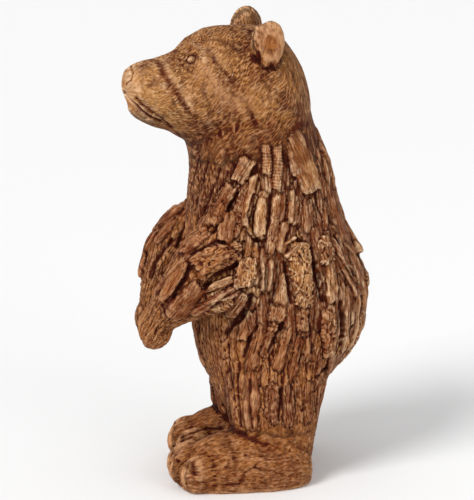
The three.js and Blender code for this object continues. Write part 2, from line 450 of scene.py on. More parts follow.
# %% Noise
def lattice(x, y, z):
    """Hashed numbers from -1 to 1 at whole-number places."""
    mixed = ((x * 73856093) ^ (y * 19349663) ^ (z * 83492791)) & 0x7FFFFFFF
    mixed = ((mixed ^ (mixed >> 13)) * 1274126177) & 0x7FFFFFFF
    mixed = ((mixed ^ (mixed >> 15)) * 668265263) & 0x7FFFFFFF
    return mixed / 0x3FFFFFFF - 1


def noise(x, y, z=0.0):
    """Smooth noise from about -1 to 1."""
    x, y, z = np.broadcast_arrays(np.asarray(x, float), y, z)
    cells = [np.floor(v).astype(np.int64) for v in (x, y, z)]
    fade = [v - c for v, c in zip((x, y, z), cells)]
    fade = [f * f * (3 - 2 * f) for f in fade]
    total = 0
    for dx in (0, 1):
        for dy in (0, 1):
            for dz in (0, 1):
                weight = 1
                for f, d in zip(fade, (dx, dy, dz)):
                    weight = weight * (f if d else 1 - f)
                total = total + weight * lattice(cells[0] + dx, cells[1] + dy, cells[2] + dz)
    return total


def rough(x, y, z=0.0, octaves=3):
    """Several octaves of noise, each half as tall and twice as fine as the last."""
    height = sum(noise(x * 2**n, y * 2**n, z + 17 * n) / 2**n for n in range(octaves))
    return height / sum(1 / 2**n for n in range(octaves))


def chance(seed):
    """One number from 0 to 1 for a seed."""
    return float(noise(seed * 7.31 + 0.5, 3.7, 1.9)) * 0.5 + 0.5


def smooth_step(low, high, value):
    """0 at low, 1 at high, and smooth between. Low may also be the greater of the two."""
    share = np.clip((value - low) / (high - low), 0, 1)
    return share * share * (3 - 2 * share)


print("Noise at one place:", round(float(noise(0.3, 0.7, 1.1)), 3))

# %% [markdown]
# ## One board
# A board is modelled once, as a grid given a thickness. Each copy is then bent on to the core: its length
# follows a line of seats on the core, its width lies square to that line, and its edges and ends are
# worn and broken by noise. A board keeps its own coordinates, along and across, as attributes of its
# mesh, so that cracks and grain can follow it later.

# %% Model the board
# How many faces a board has, how deep it is sunk in the core, and how far its line may miss a seat, in mm
BOARD_LENGTHS, BOARD_WIDTHS = 30, 9
BOARD_SUNK = 9
MOST_UNEVEN = 7

deselect()
bpy.ops.mesh.primitive_grid_add(x_subdivisions=BOARD_LENGTHS, y_subdivisions=BOARD_WIDTHS, size=2)
board = bpy.context.object
board.name = "board"
wall = board.modifiers.new("wall", "SOLIDIFY")
wall.thickness = 1
wall.offset = -1
apply_modifiers(board)
board_points = points_of(board.data)
board_points[:, 2] = np.where(board_points[:, 2] > -0.5, 1.0, 0.0)
print("Board:", len(board_points), "vertices")

# %% [markdown]
# A board needs seats: places on the core with the way that the core faces there. A seat is found by a
# pixel of the photo, or by a bearing round the body for the sides that the photo doesn't show.

# %% Seats
def seat_at_pixel(x, y):
    """Where the core is met by the ray through a pixel, or is nearest to it."""
    direction = pixel_ray(x, y)
    place, normal, _, _ = core_tree.ray_cast(eye_point, direction)
    if place is None:
        steps = [eye_point + direction * (DISTANCE + step * MM) for step in range(-150, 151, 10)]
        place, normal, _, _ = min((core_tree.find_nearest(s) for s in steps), key=lambda hit: hit[3])
    return np.array(place) / MM, np.array(normal)


def seat_at_bearing(degrees, height, middle):
    """Where the core is met from outside, at a bearing round an upright axis. 0 is +X and 90 is +Y."""
    angle = math.radians(degrees)
    outward = Vector((math.cos(angle), math.sin(angle), 0))
    axis = Vector((middle[0] * MM, middle[1] * MM, height * MM))
    place, normal, _, _ = core_tree.ray_cast(axis + outward * 0.4, -outward)
    return np.array(place) / MM, np.array(normal)


print("The middle of the photo is at", [round(v) for v in seat_at_pixel(237, 250)[0]], "mm")

# %% [markdown]
# The bent board gets a ragged edge, broken ends, worn corners, a warp, a twist and a slight roundness. The
# ragged edge is a share of the width, and the others are millimetres. The roundness is the breadth of the
# barrel that its face would fit.

# %% Lay a board
KINDS = {"plain": 1, "wormy": 2, "cracked": 3, "ribbed": 4, "fibre": 5}
RAGGED_EDGE = 0.24
BROKEN_END = 4.5
WORN_EDGE = 2.0
WARP, TWIST = 1.8, 2.2
FACE_BARREL = 150


def lay_board(name, seats, widths, lifts, kind, tone, seed, skew=0.0, blunt=0.0):
    """Bends a copy of the board on to the core.

    seats are (place, normal) pairs along it. widths and lifts are its width and the height of its face at
    its head and foot, in millimetres. blunt rounds its ends off."""
    u = (board_points[:, 0] + 1) / 2
    v = board_points[:, 1]
    top = board_points[:, 2]
    knots = np.linspace(0, 1, len(seats))
    bends = 2 if len(seats) > 2 else 1
    line = [np.polyfit(knots, [s[0][i] for s in seats], bends) for i in range(3)]
    face_line = [np.polyfit(knots, [s[1][i] for s in seats], 1) for i in range(3)]
    length = np.linalg.norm(seats[-1][0] - seats[0][0])
    half = np.interp(u, np.linspace(0, 1, len(widths)), widths) / 2

    ragged = 1 + RAGGED_EDGE * rough(u * length / 9, np.sign(v) * 5 + 9, seed * 3.3)
    pinch = 1 - blunt * (np.abs(2 * u - 1) ** 4) * 0.55
    across = v * half * ragged * pinch
    ends = 2 * u - 1
    slip = np.abs(ends) ** 3 * np.sign(ends) * (
        skew * across + BROKEN_END * rough(across / 3.2, np.sign(ends) * 4 + 6, seed * 1.7)
    )
    along = (u - 0.5) * length + slip
    u_slipped = along / length + 0.5

    misses = [np.linalg.norm([np.polyval(c, k) for c in line] - s[0]) for k, s in zip(knots, seats)]
    if max(misses) > MOST_UNEVEN:
        print("  no board over the step in the core:", name)
        return []
    place = np.stack([np.polyval(c, u_slipped) for c in line], axis=1)
    tangent = np.stack([np.polyval(np.polyder(c), u_slipped) for c in line], axis=1)
    tangent /= np.linalg.norm(tangent, axis=1, keepdims=True)
    normal = np.stack([np.polyval(c, u_slipped) for c in face_line], axis=1)
    normal -= tangent * np.sum(normal * tangent, axis=1, keepdims=True)
    normal /= np.linalg.norm(normal, axis=1, keepdims=True)
    sideways = np.cross(tangent, normal)

    face_height = np.interp(u, [0, 1], lifts)
    worn = WORN_EDGE * np.abs(v) ** 3 + (1.0 + 2.2 * blunt) * np.abs(ends) ** 6
    warp = WARP * rough(u * length / 14, v * half / 7, seed + 40) + TWIST * (chance(seed + 0.9) - 0.5) * v
    round_body = across**2 / FACE_BARREL
    height = np.where(top > 0.5, face_height - worn + warp, -BOARD_SUNK) - round_body
    spot = place + sideways * across[:, None] + normal * height[:, None]

    laid = bpy.data.objects.new(name, board.data.copy())
    bpy.context.collection.objects.link(laid)
    laid.data.name = name
    laid.data.vertices.foreach_set("co", (spot * MM).astype(np.float32).ravel())
    edge = np.minimum((1 - np.abs(v)) * half, (1 - np.abs(ends)) * length / 2)
    every = np.ones_like(u)
    write_values(laid.data, "grain", np.stack([along, across, seed * every], axis=1))
    write_values(laid.data, "sort", np.stack([KINDS[kind] * every, tone * every, edge], axis=1))
    return [laid]


print("Kinds of board:", *KINDS)

# %% [markdown]
# ## Boards that the photo shows
# Each line is one board on the bear's left side: its name, kind, tone (0 dark, 1 light), the height of
# its face over the core at its head and foot in millimetres, and then its line in the photo, as pixels
# (x, y, width).

# %% Boards of the left side
PHOTO_BOARDS = [
    # collar and neck
    ("collar_block", "plain", 0.66, 6, 8, (250, 158, 17), (237, 181, 16)),
    ("collar_block_low", "cracked", 0.46, 5, 6, (232, 185, 15), (222, 202, 17)),
    ("collar_boss", "cracked", 0.60, 5, 7, (222, 204, 20), (213, 226, 19)),
    ("neck_lath_front", "ribbed", 0.70, 4, 6, (266, 145, 9), (266, 175, 10)),
    ("neck_lath_stub", "plain", 0.40, 3, 5, (266, 177, 9), (266, 191, 9)),
    ("neck_lath_middle", "ribbed", 0.62, 4, 6, (277, 145, 10), (276, 191, 10)),
    ("neck_stick", "plain", 0.42, 2, 2, (287, 166, 3.5), (287, 187, 3.5)),
    ("neck_board", "plain", 0.85, 3, 8, (293, 133, 24), (302, 164, 30), (312, 192, 27)),
    ("nape_board", "fibre", 0.52, 2, 4, (318, 128, 14), (323, 160, 12), (327, 188, 11)),
    ("nape_lath", "plain", 0.60, 3, 5, (327, 164, 7), (331, 188, 8)),
    ("nape_edge", "plain", 0.56, 3, 6, (331, 184, 8), (334, 214, 9)),
    # shoulder
    ("shoulder_ridge", "plain", 0.66, 6, 7, (254, 175, 8), (243, 228, 9)),
    ("shoulder_board", "cracked", 0.40, 4, 5, (248, 184, 10), (233, 234, 14)),
    ("shoulder_chip", "plain", 0.56, 5, 6, (229, 212, 14), (224, 241, 17)),
    ("finger", "plain", 0.8, 6, 8, (262, 196, 10), (258.5, 237, 15)),
    ("finger_cap", "plain", 0.44, 4, 4, (266, 191, 12), (264, 198, 12)),
    ("flank_long", "plain", 0.60, 5, 6, (277, 192, 9), (270, 252, 12)),
    ("flank_red", "fibre", 0.32, 3, 4, (283.5, 192, 7), (282, 222, 8)),
    ("flank_ridge", "plain", 0.68, 5, 6, (291, 189, 6), (290, 223, 6)),
    ("flank_strip", "fibre", 0.44, 3, 4, (296, 197, 6), (294, 226, 8)),
    ("flank_pad", "fibre", 0.34, 2, 3, (307, 197, 20), (308, 234, 22)),
    ("flank_thread", "fibre", 0.42, 3, 4, (322, 198, 9), (325, 232, 10)),
    ("flank_low", "plain", 0.52, 4, 5, (284, 222, 11), (279, 252, 12)),
    # under the finger
    ("side_lath_1", "plain", 0.64, 4, 5, (248, 236, 8), (245, 262, 8)),
    ("side_lath_2", "plain", 0.60, 4, 5, (255, 240, 7), (254, 286, 9)),
    ("side_lath_3", "fibre", 0.30, 2, 3, (263, 246, 9), (262, 290, 9)),
    ("side_lath_4", "fibre", 0.36, 2, 4, (272, 254, 8), (267, 292, 9)),
    ("splinter_1", "plain", 0.72, 6, 5, (296, 236, 4), (278, 249, 4)),
    ("splinter_2", "plain", 0.64, 6, 6, (300, 243, 4), (283, 258, 5)),
    # beetle-eaten slats of the flank
    ("wormy_slat", "wormy", 0.95, 6, 8, (298, 243, 25), (300, 272, 24), (303, 305, 21)),
    ("wormy_slat_low", "cracked", 0.50, 4, 6, (302, 306, 15), (301, 330, 14)),
    ("wormy_back_top", "wormy", 0.70, 5, 6, (322, 237, 19), (326, 264, 21)),
    ("wormy_back_low", "plain", 0.66, 5, 6, (329, 262, 16), (331, 303, 15)),
    ("channel_lath", "fibre", 0.22, 1, 1, (317, 268, 6), (319, 303, 6)),
    ("golden_wedge", "plain", 0.56, 3, 5, (282, 271, 8), (280, 304, 17)),
    # diagonal strips to the rump
    ("outline_slat", "plain", 0.62, 5, 11, (340, 218, 10), (361, 253, 12)),
    ("rump_strip_1", "plain", 0.58, 4, 6, (332, 226, 9), (351, 258, 10), (368, 286, 10)),
    ("rump_strip_2", "fibre", 0.46, 4, 5, (329, 236, 7), (344, 262, 8), (360, 294, 9)),
    ("rump_strip_3", "plain", 0.60, 3, 5, (336, 256, 7), (346, 276, 8), (354, 296, 8)),
    ("rump_knot", "cracked", 0.46, 8, 9, (366, 270, 12), (369, 286, 12)),
    ("rump_upright_1", "plain", 0.52, 4, 5, (345, 287, 9), (346, 320, 10), (341, 352, 8)),
    ("rump_upright_2", "plain", 0.60, 5, 5, (355, 290, 9), (355, 322, 10), (347, 352, 8)),
    ("rump_upright_3", "fibre", 0.44, 4, 5, (364, 290, 8), (362, 322, 9), (352, 348, 8)),
    ("rump_curl", "wormy", 0.66, 6, 7, (327, 307, 17), (328, 330, 17), (328, 356, 14)),
    ("rump_hollow", "fibre", 0.24, 1, 2, (338, 304, 7), (337, 350, 6)),
    # upper arm
    ("arm_chunk", "cracked", 0.54, 5, 6, (208, 230, 13), (181, 254, 14)),
    ("arm_ridge_2", "plain", 0.58, 5, 5, (190, 254, 6), (157, 292, 6)),
    ("arm_board", "plain", 0.76, 5, 6, (185, 264, 14), (163, 301, 15)),
    ("arm_block", "wormy", 0.9, 6, 7, (239, 250, 22), (218, 256, 25), (196, 266, 24)),
    ("arm_tip", "plain", 0.66, 4, 4, (201, 266, 11), (202, 279, 7)),
    ("elbow_block", "wormy", 0.85, 6, 6, (247, 260, 20), (244, 287, 20)),
    ("elbow_lath", "plain", 0.68, 4, 5, (233, 279, 8), (207, 289, 8)),
    ("arm_slat", "plain", 0.50, 5, 6, (200, 284, 20), (171, 318, 22)),
    ("arm_underside", "fibre", 0.36, 3, 4, (240, 288, 11), (190, 314, 13)),
    # far arm
    ("far_shoulder", "plain", 0.48, 3, 5, (187, 201, 11), (158, 229, 12)),
    ("far_shoulder_low", "fibre", 0.50, 4, 5, (160, 228, 11), (145, 253, 12)),
    ("far_inner", "plain", 0.62, 3, 4, (176, 218, 12), (156, 243, 12)),
    # belly
    ("belly_leaf", "plain", 0.44, 4, 6, (246, 293, 13), (230, 315, 15)),
    ("belly_patch", "plain", 0.60, 4, 5, (254, 296, 13), (243, 340, 15)),
    ("belly_board", "plain", 0.62, 5, 1.2, (263, 322, 12), (248, 374, 14)),
    ("belly_rough", "cracked", 0.48, 4, 1.2, (275, 322, 13), (263, 357, 14)),
    ("side_patch", "cracked", 0.52, 4, 5, (279, 305, 18), (275, 321, 18)),
    ("light_board", "plain", 0.74, 5, 1.2, (289, 326, 12), (276, 373, 15)),
    ("thigh_sliver_1", "fibre", 0.54, 2.4, 1.2, (301, 330, 10), (290, 384, 12)),
    ("thigh_sliver_2", "plain", 0.62, 2.4, 1.2, (312, 330, 10), (306, 364, 11)),
    ("thigh_sliver_3", "fibre", 0.40, 1.8, 1.2, (321, 350, 9), (313, 392, 9)),
    ("thigh_back", "plain", 0.42, 1.8, 1.2, (329, 364, 11), (322, 384, 10)),
    # leg
    ("leg_board", "plain", 0.52, 1.5, 2.6, (251, 371, 17), (251, 402, 19), (250, 430, 17)),
    ("leg_patch", "cracked", 0.34, 1.6, 1.8, (272, 382, 17), (272, 424, 18)),
    ("leg_strip_4", "fibre", 0.40, 1.4, 2.2, (290, 380, 13), (289, 428, 15)),
    ("leg_front", "fibre", 0.36, 1.6, 2.4, (228, 372, 14), (232, 424, 13)),
    ("leg_hatched", "cracked", 0.66, 2.4, 2.4, (309, 380, 12), (308, 424, 14)),
    ("leg_strip_back", "fibre", 0.44, 1.8, 1.8, (320, 376, 8), (317, 418, 8)),
]
print("Boards read off the photo:", len(PHOTO_BOARDS))

# %% [markdown]
# Each board gets five seats on its line, and is laid through them.

# %% Lay the left side's boards
SEATS_PER_BOARD = 5


def line_through(stops, count):
    """Evenly spaced places on a line through pixel stops."""
    knots = np.linspace(0, 1, len(stops))
    shares = np.linspace(0, 1, count)
    return [tuple(np.interp(share, knots, [stop[i] for stop in stops]) for i in (0, 1)) for share in shares]


boards = []
for number, (name, kind, tone, head_lift, foot_lift, *stops) in enumerate(PHOTO_BOARDS):
    seats = [seat_at_pixel(x, y) for x, y in line_through(stops, SEATS_PER_BOARD)]
    boards += lay_board(
        name, seats, [stop[2] for stop in stops], (head_lift, foot_lift), kind, tone, number + 1,
        skew=0.7 * (chance(number) - 0.5), blunt=1.0 if name == "finger" else 0.25,
    )
print("Boards from the photo:", len(boards), round(time.time() - STARTED, 1), "s")

# %% [markdown]
# ## Boards on the hidden sides
# The far side and the back are laid in courses, like shingles. A thin course of laths goes all the way
# round first, so that a gap between two boards never shows a bare core.

# %% Courses of boards
# Each course: top height, foot height, first and last bearing, width of a board, lift at head and foot
LATH_COURSES = [
    (364, 300, 40, 225, 15, 1.0, 2.5),
    (345, 280, -18, 205, 15, 1.0, 2.0),
    (300, 225, -24, 205, 15, 1.0, 2.5),
    (240, 165, -50, 235, 15, 1.0, 2.5),
    (184, 104, 40, 250, 14, 1.0, 2.0),
]
BOARD_COURSES = [
    (368, 312, 62, 222, 20, 3.0, 6.0),
    (330, 264, 60, 214, 22, 3.5, 6.0),
    (290, 215, 66, 212, 22, 3.5, 6.5),
    (236, 160, 70, 218, 23, 3.5, 6.5),
    (176, 120, 68, 222, 21, 3.5, 6.5),
    (124, 62, 78, 240, 15, 1.5, 3.0),
    (205, 128, 222, 280, 14, 2.5, 4.0),
]
BODY_MIDDLE = (0, 24)
HEAD_SCATTER, FOOT_SCATTER, LEAN_SCATTER, LIFT_SCATTER = 26, 34, 18, 2.0
OVERLAP = 0.78
SORTS = ("plain", "plain", "fibre", "cracked", "wormy", "plain", "fibre", "ribbed")


def lay_course(course, seed, tones, sorts):
    """One course of boards round the body. Their size, lean, lift, kind and tone are scattered."""
    top, foot_height, first, last, width, head_lift, foot_lift = course
    bearing, laid = first, []
    while bearing < last:
        seed += 1
        stretch = 0.5 + 1.1 * chance(seed) ** 1.5
        high = top + HEAD_SCATTER * (chance(seed + 0.2) - 0.5)
        low = foot_height + FOOT_SCATTER * (chance(seed + 0.4) - 0.5)
        lean = LEAN_SCATTER * (chance(seed + 0.6) - 0.5)
        seats = [
            seat_at_bearing(bearing + lean * share, high + (low - high) * share, BODY_MIDDLE)
            for share in np.linspace(0, 1, SEATS_PER_BOARD)
        ]
        girth = np.hypot(seats[2][0][0] - BODY_MIDDLE[0], seats[2][0][1] - BODY_MIDDLE[1])
        drop = LIFT_SCATTER * (chance(seed + 0.8) - 0.5)
        laid += lay_board(
            "board", seats, (width * stretch, width * stretch * (0.8 + 0.3 * chance(seed + 0.1))),
            (head_lift + drop, foot_lift + drop), sorts[int(chance(seed + 0.3) * (len(sorts) - 0.01))],
            tones[0] + (tones[1] - tones[0]) * chance(seed + 0.5), seed,
            skew=1.2 * (chance(seed + 0.7) - 0.5), blunt=0.2,
        )
        bearing += math.degrees(width * stretch * OVERLAP / girth)
    return laid


for number, course in enumerate(LATH_COURSES):
    boards += lay_course(course, 1000 + 100 * number, (0.22, 0.42), ("fibre",) * 8)
for number, course in enumerate(BOARD_COURSES):
    boards += lay_course(course, 2000 + 100 * number, (0.3, 0.85), SORTS)
print("Boards in all:", len(boards), round(time.time() - STARTED, 1), "s")

# %% [markdown]
# ## The right arm
# The two arms are a pair. So the right arm, and the belly beside it, are dressed with the left side's
# boards, turned over and set down on the nearest place of the core.

# %% Dress the right arm
PAIRED = ("arm_", "elbow_", "belly_patch", "belly_board")
for number, (name, kind, tone, head_lift, foot_lift, *stops) in enumerate(PHOTO_BOARDS):
    if not name.startswith(PAIRED):
        continue
    seats = []
    for x, y in line_through(stops, SEATS_PER_BOARD):
        place, _ = seat_at_pixel(x, y)
        mirrored = Vector((-place[0], place[1], place[2])) * MM
        near, normal, _, _ = core_tree.find_nearest(mirrored)
        seats.append((np.array(near) / MM, np.array(normal)))
    boards += lay_board(
        name + "_right", seats, [stop[2] for stop in stops], (head_lift, foot_lift), kind,
        min(1, max(0, tone + 0.3 * (chance(number + 0.5) - 0.5))), number + 500, skew=0.3, blunt=0.25,
    )
print("With the right arm:", len(boards))

# %% [markdown]
# ## Eyes
# An eye is a bead in a ring: a small torus with a ball in it, half sunk in the skull.

# %% Eyes
EYE_PIXEL = (191, 59.5)
EYE_RING, RING_THICKNESS, EYE_BEAD = 3.0, 1.2, 1.8
RING_PROUD, BEAD_PROUD = 0.7, 0.4
eye_place, eye_normal = seat_at_pixel(*EYE_PIXEL)
eyes = []
for side in (1, -1):
    place = Vector((side * eye_place[0], eye_place[1], eye_place[2])) * MM
    normal = Vector((side * eye_normal[0], eye_normal[1], eye_normal[2]))
    deselect()
    bpy.ops.mesh.primitive_torus_add(
        major_radius=EYE_RING * MM, minor_radius=RING_THICKNESS * MM, major_segments=24, minor_segments=8,
        location=place + normal * RING_PROUD * MM, rotation=normal.to_track_quat("Z", "Y").to_euler(),
    )
    eyes.append(bpy.context.object)
    deselect()
    bpy.ops.mesh.primitive_uv_sphere_add(
        segments=20, ring_count=12, radius=EYE_BEAD * MM, location=place + normal * BEAD_PROUD * MM
    )
    eyes.append(bpy.context.object)
print("Eye at", [round(v, 1) for v in eye_place])

# %% [markdown]
# ## One skin
# Core and boards are joined, and a copy is fused by a fine voxel remesh, which is what casting does: all
# the separate sticks become one surface. The unfused copy is kept for a while, to tell each point of the
# skin which board it belongs to.

# %% Fuse core and boards
SKIN_VOXEL = 1.25
for part in (core, *eyes):
    for name in ("grain", "sort"):
        part.data.attributes.new(name, "FLOAT_VECTOR", "POINT")
bpy.data.objects.remove(board)
master = join([core, *boards, *eyes], "master")
bear = master.copy()
bear.data = master.data.copy()
bear.name = bear.data.name = "bear_casting"
bpy.context.collection.objects.link(bear)
fuse = bear.modifiers.new("fuse", "REMESH")
fuse.mode = "VOXEL"
fuse.voxel_size = SKIN_VOXEL * MM
apply_modifiers(bear)
print("Skin:", len(bear.data.vertices), "vertices", round(time.time() - STARTED, 1), "s")

# %% [markdown]
# ## Which board a point is on
# The remesh drops the boards' own coordinates. For each point of the skin, the nearest face of the
# unfused copy is found, and the values at that face's corners are blended.

# %% Tell each point its board
master_tree = tree_of(master.data)
master_corners = [v.co.copy() for v in master.data.vertices]
master_faces = [tuple(p.vertices) for p in master.data.polygons]


def read_vectors(mesh, name):
    flat = np.empty(len(mesh.vertices) * 3, dtype=np.float32)
    mesh.attributes[name].data.foreach_get("vector", flat)
    return flat.reshape(-1, 3).astype(np.float64)


master_grain = read_vectors(master.data, "grain")
master_sort = read_vectors(master.data, "sort")


def board_coordinates(points):
    """grain (along, across, seed) and sort (kind, tone, distance to the edge) of the nearest board."""
    grain = np.zeros((len(points), 3))
    sort = np.zeros((len(points), 3))
    for i, point in enumerate(points):
        near, _, face, _ = master_tree.find_nearest(point)
        corners = master_faces[face]
        shares = poly_3d_calc([master_corners[c] for c in corners], near)
        for corner, share in zip(corners, shares):
            grain[i] += master_grain[corner] * share
            sort[i] += master_sort[corner] * share
    sort[:, 0] = np.round(sort[:, 0])
    return grain, sort


skin_points = points_of(bear.data)
grain, sort = board_coordinates(skin_points)
print("Coordinates read", round(time.time() - STARTED, 1), "s")

# %% [markdown]
# ## The carver's lines
# Some cuts are the bear's own: the mouth, the edge of the nose, the folds between the arm's strands and
# the deep gaps between boards. Each is a line of pixels thrown on to the skin, with a width and a height
# in millimetres, where a height below zero is a cut. The stain gathers in most of them, and a stain
# below zero is a place rubbed clean. A line on the head is made on both sides, and so are the folds of
# the arm.

# %% Carved lines
# Each line: name, half width, height, stain, sides, pixels. Sides is 0 for the left only, 1 for both, and
# 2 for a line that also runs on round the front of the muzzle.
CARVED_LINES = [
    ("mouth", 1.5, -2.6, 1.0, 2, (128, 97), (134, 103), (141, 110), (150, 117), (160, 121)),
    ("lip_edge", 2.4, -1.4, 0.9, 1, (136, 99), (150, 111), (162, 119), (171, 127)),
    ("lower_lip", 2.2, 1.0, 0.3, 1, (134, 112), (142, 118), (151, 121)),
    ("nose_edge", 1.3, -1.2, 0.5, 1, (131, 66), (133, 73), (131, 80), (126, 84)),
    ("muzzle_band", 3.6, -0.9, 0.7, 1, (158, 62), (163, 74), (171, 86), (178, 96), (186, 108)),
    ("muzzle_band_low", 3.6, -0.6, 0.5, 1, (186, 108), (196, 119), (208, 129)),
    ("muzzle_spot", 5.0, -0.4, 0.6, 1, (173, 86), (179, 91)),
    ("muzzle_rub", 3.8, 0.3, -0.75, 1, (163, 59), (173, 76), (183, 90), (190, 104)),
    ("cheek_band", 3.4, -0.8, 0.65, 1, (207, 50), (216, 62), (226, 74), (233, 82)),
    ("cheek_rub", 8.0, 0.3, -0.9, 1, (205, 68), (214, 84), (226, 100), (238, 104)),
    ("brow_rub", 5.0, 0.2, -0.6, 1, (203, 46), (212, 54), (224, 66)),
    ("cheek_band_low", 3.4, -0.6, 0.5, 1, (240, 97), (250, 110), (256, 124)),
    ("brow_blot", 5.5, -0.3, 0.5, 1, (225, 42), (234, 48)),
    ("nape_blot", 4.5, -0.3, 0.6, 1, (297, 104), (301, 116)),
    ("neck_blot", 5.0, -0.3, 0.5, 1, (284, 134), (292, 138)),
    ("brow", 5.5, 2.0, 0.0, 1, (183, 48), (193, 44), (202, 50), (204, 60)),
    ("eye_corner", 3.0, -0.8, 0.2, 1, (180, 60), (184, 68), (192, 70)),
    ("ear_root", 4.2, -1.0, 0.5, 1, (272, 65), (265, 74), (262, 81)),
    ("ear_front", 2.4, -1.2, 0.7, 1, (250, 30), (252, 39), (255, 49), (260, 58)),
    ("neck_gap", 1.8, -3.0, 0.9, 0, (238, 193), (230, 205), (222, 220), (214, 232)),
    ("shoulder_gap", 2.2, -3.2, 0.9, 1, (186, 222), (181, 233), (177, 246)),
    ("arm_gap", 2.8, -4.2, 1.0, 1, (172, 240), (163, 250), (155, 262), (151, 276)),
    ("arm_top_fold", 1.9, -2.6, 0.9, 1, (192, 254), (206, 246), (217, 241), (229, 245), (239, 253)),
    ("block_gap", 2.4, -3.4, 1.0, 1, (237, 264), (225, 270), (212, 277), (204, 289)),
    ("wrist_gap", 2.4, -3.2, 1.0, 1, (190, 268), (185, 279), (176, 291), (166, 303)),
    ("paw_fold", 2.0, -2.2, 0.9, 1, (162, 305), (166, 318)),
    ("under_arm", 2.8, -4.0, 1.0, 1, (248, 287), (236, 293), (225, 300), (213, 308)),
    ("finger_left", 1.6, -3.2, 1.0, 0, (254, 195), (249, 214), (247, 231), (252, 239), (260, 241)),
    ("finger_right", 1.4, -2.6, 1.0, 0, (270, 196), (269, 222), (265, 241)),
    ("side_gap", 2.0, -3.6, 1.0, 0, (243, 242), (240, 256)),
    ("belly_gap", 3.0, -4.4, 1.0, 0, (251, 294), (249, 306), (241, 318), (231, 327), (226, 334)),
    ("belly_fold", 2.1, -2.8, 0.9, 0, (257, 326), (250, 338), (244, 356)),
    ("hip_fold", 2.1, -3.0, 0.9, 0, (282, 323), (276, 336), (269, 352)),
    ("slat_gap", 1.8, -3.2, 1.0, 0, (284, 263), (287, 280), (291, 302)),
    ("channel", 2.8, -4.2, 1.0, 0, (314, 264), (318, 284), (323, 300)),
    ("rump_gap", 2.4, -3.4, 1.0, 0, (340, 302), (341, 330), (337, 352)),
    ("rump_strip_gap", 1.8, -2.8, 0.9, 0, (334, 236), (345, 256), (354, 274)),
    ("slat_end", 1.6, -2.2, 0.9, 0, (296, 241), (306, 242), (312, 252), (313, 262)),
    ("slat_foot", 2.0, -2.4, 0.9, 0, (310, 306), (311, 330), (312, 352)),
    ("thigh_fold", 2.3, -2.8, 0.9, 0, (334, 352), (327, 368), (318, 377)),
    ("leg_fold_1", 1.7, -1.7, 0.7, 0, (237, 374), (238, 396), (241, 426)),
    ("leg_fold_2", 1.7, -1.7, 0.7, 0, (261, 367), (260, 386)),
    ("leg_fold_3", 1.7, -1.7, 0.7, 0, (281, 390), (279, 418)),
    ("leg_fold_4", 1.7, -1.7, 0.7, 0, (219, 385), (222, 405), (226, 430)),
    ("leg_fold_5", 1.7, -1.7, 0.7, 0, (229, 345), (230, 370), (234, 400)),
    ("leg_fold_6", 1.7, -1.7, 0.7, 0, (250, 380), (249, 404), (252, 428)),
    ("leg_fold_7", 1.7, -1.7, 0.7, 0, (294, 378), (290, 402)),
    ("leg_rub", 3.0, 1.2, -0.5, 0, (244, 376), (246, 400), (247, 424)),
    ("throat_fold_1", 1.6, -1.8, 0.6, 0, (208, 162), (203, 180), (196, 204)),
    ("throat_fold_2", 1.8, -2.0, 0.7, 0, (220, 170), (213, 188), (203, 214)),
    ("throat_fold_3", 1.4, -1.4, 0.6, 0, (199, 156), (195, 172), (190, 190)),
    ("throat_fold_4", 1.6, -1.8, 0.6, 0, (228, 172), (221, 190), (212, 206)),
    ("toe_fold", 1.9, -2.6, 1.0, 0, (181, 437), (194, 432), (207, 428), (222, 428)),
    ("toe_fold_low", 1.7, -2.0, 0.9, 0, (174, 447), (182, 441), (191, 437)),
    ("toe_hollow", 4.2, -2.4, 0.7, 0, (192, 463), (194, 473)),
    ("toe_gap", 2.6, -2.0, 0.6, 0, (172, 456), (178, 461), (186, 466)),
    ("ankle_fold", 3.2, -0.9, 0.35, 0, (225, 431), (231, 447), (236, 462)),
    ("sole_layer_1", 1.0, -0.7, 0.3, 0, (255, 468), (272, 471), (290, 477)),
    ("sole_layer_2", 1.0, -0.7, 0.3, 0, (238, 450), (262, 456), (298, 460)),
    ("sole_layer_3", 1.0, -0.6, 0.25, 0, (197, 482), (225, 485), (262, 483)),
]
print("Carved lines:", len(CARVED_LINES))

# %% [markdown]
# A line is thrown on to the unfused boards and turned over to the other side where it needs to be. Each
# point of the skin near it is cut by its distance, with a wobble in the width and patches in the stain.
# The mouth runs on round the muzzle in a low arch.

# %% Height and stain of the lines
MOUTH_ARCH = 4
LINE_MARGIN = 15


def place_at_pixel(x, y):
    """Where the ray through a pixel meets the boards or the bare core, or None past the outline."""
    place, _, _, _ = master_tree.ray_cast(eye_point, pixel_ray(x, y))
    return place and np.array(place)


def round_the_front(spot):
    """Places on the muzzle from its middle out to a spot, in an arch that comes down to it."""
    line = []
    for share in (0, 0.25, 0.5, 0.75, 0.9):
        start = Vector((spot[0] * share, -0.4, spot[2] + MOUTH_ARCH * MM * (1 - share**2)))
        place, _, _, _ = master_tree.ray_cast(start, Vector((0, 1, 0)))
        line.append(np.array(place))
    return line


def distance_to_line(points, line):
    """Each point's distance from a line of places, in metres."""
    nearest = np.full(len(points), np.inf)
    for start, end in zip(line, line[1:]):
        step = end - start
        share = np.clip((points - start) @ step / (step @ step), 0, 1)
        nearest = np.minimum(nearest, np.linalg.norm(points - start - share[:, None] * step, axis=1))
    return nearest


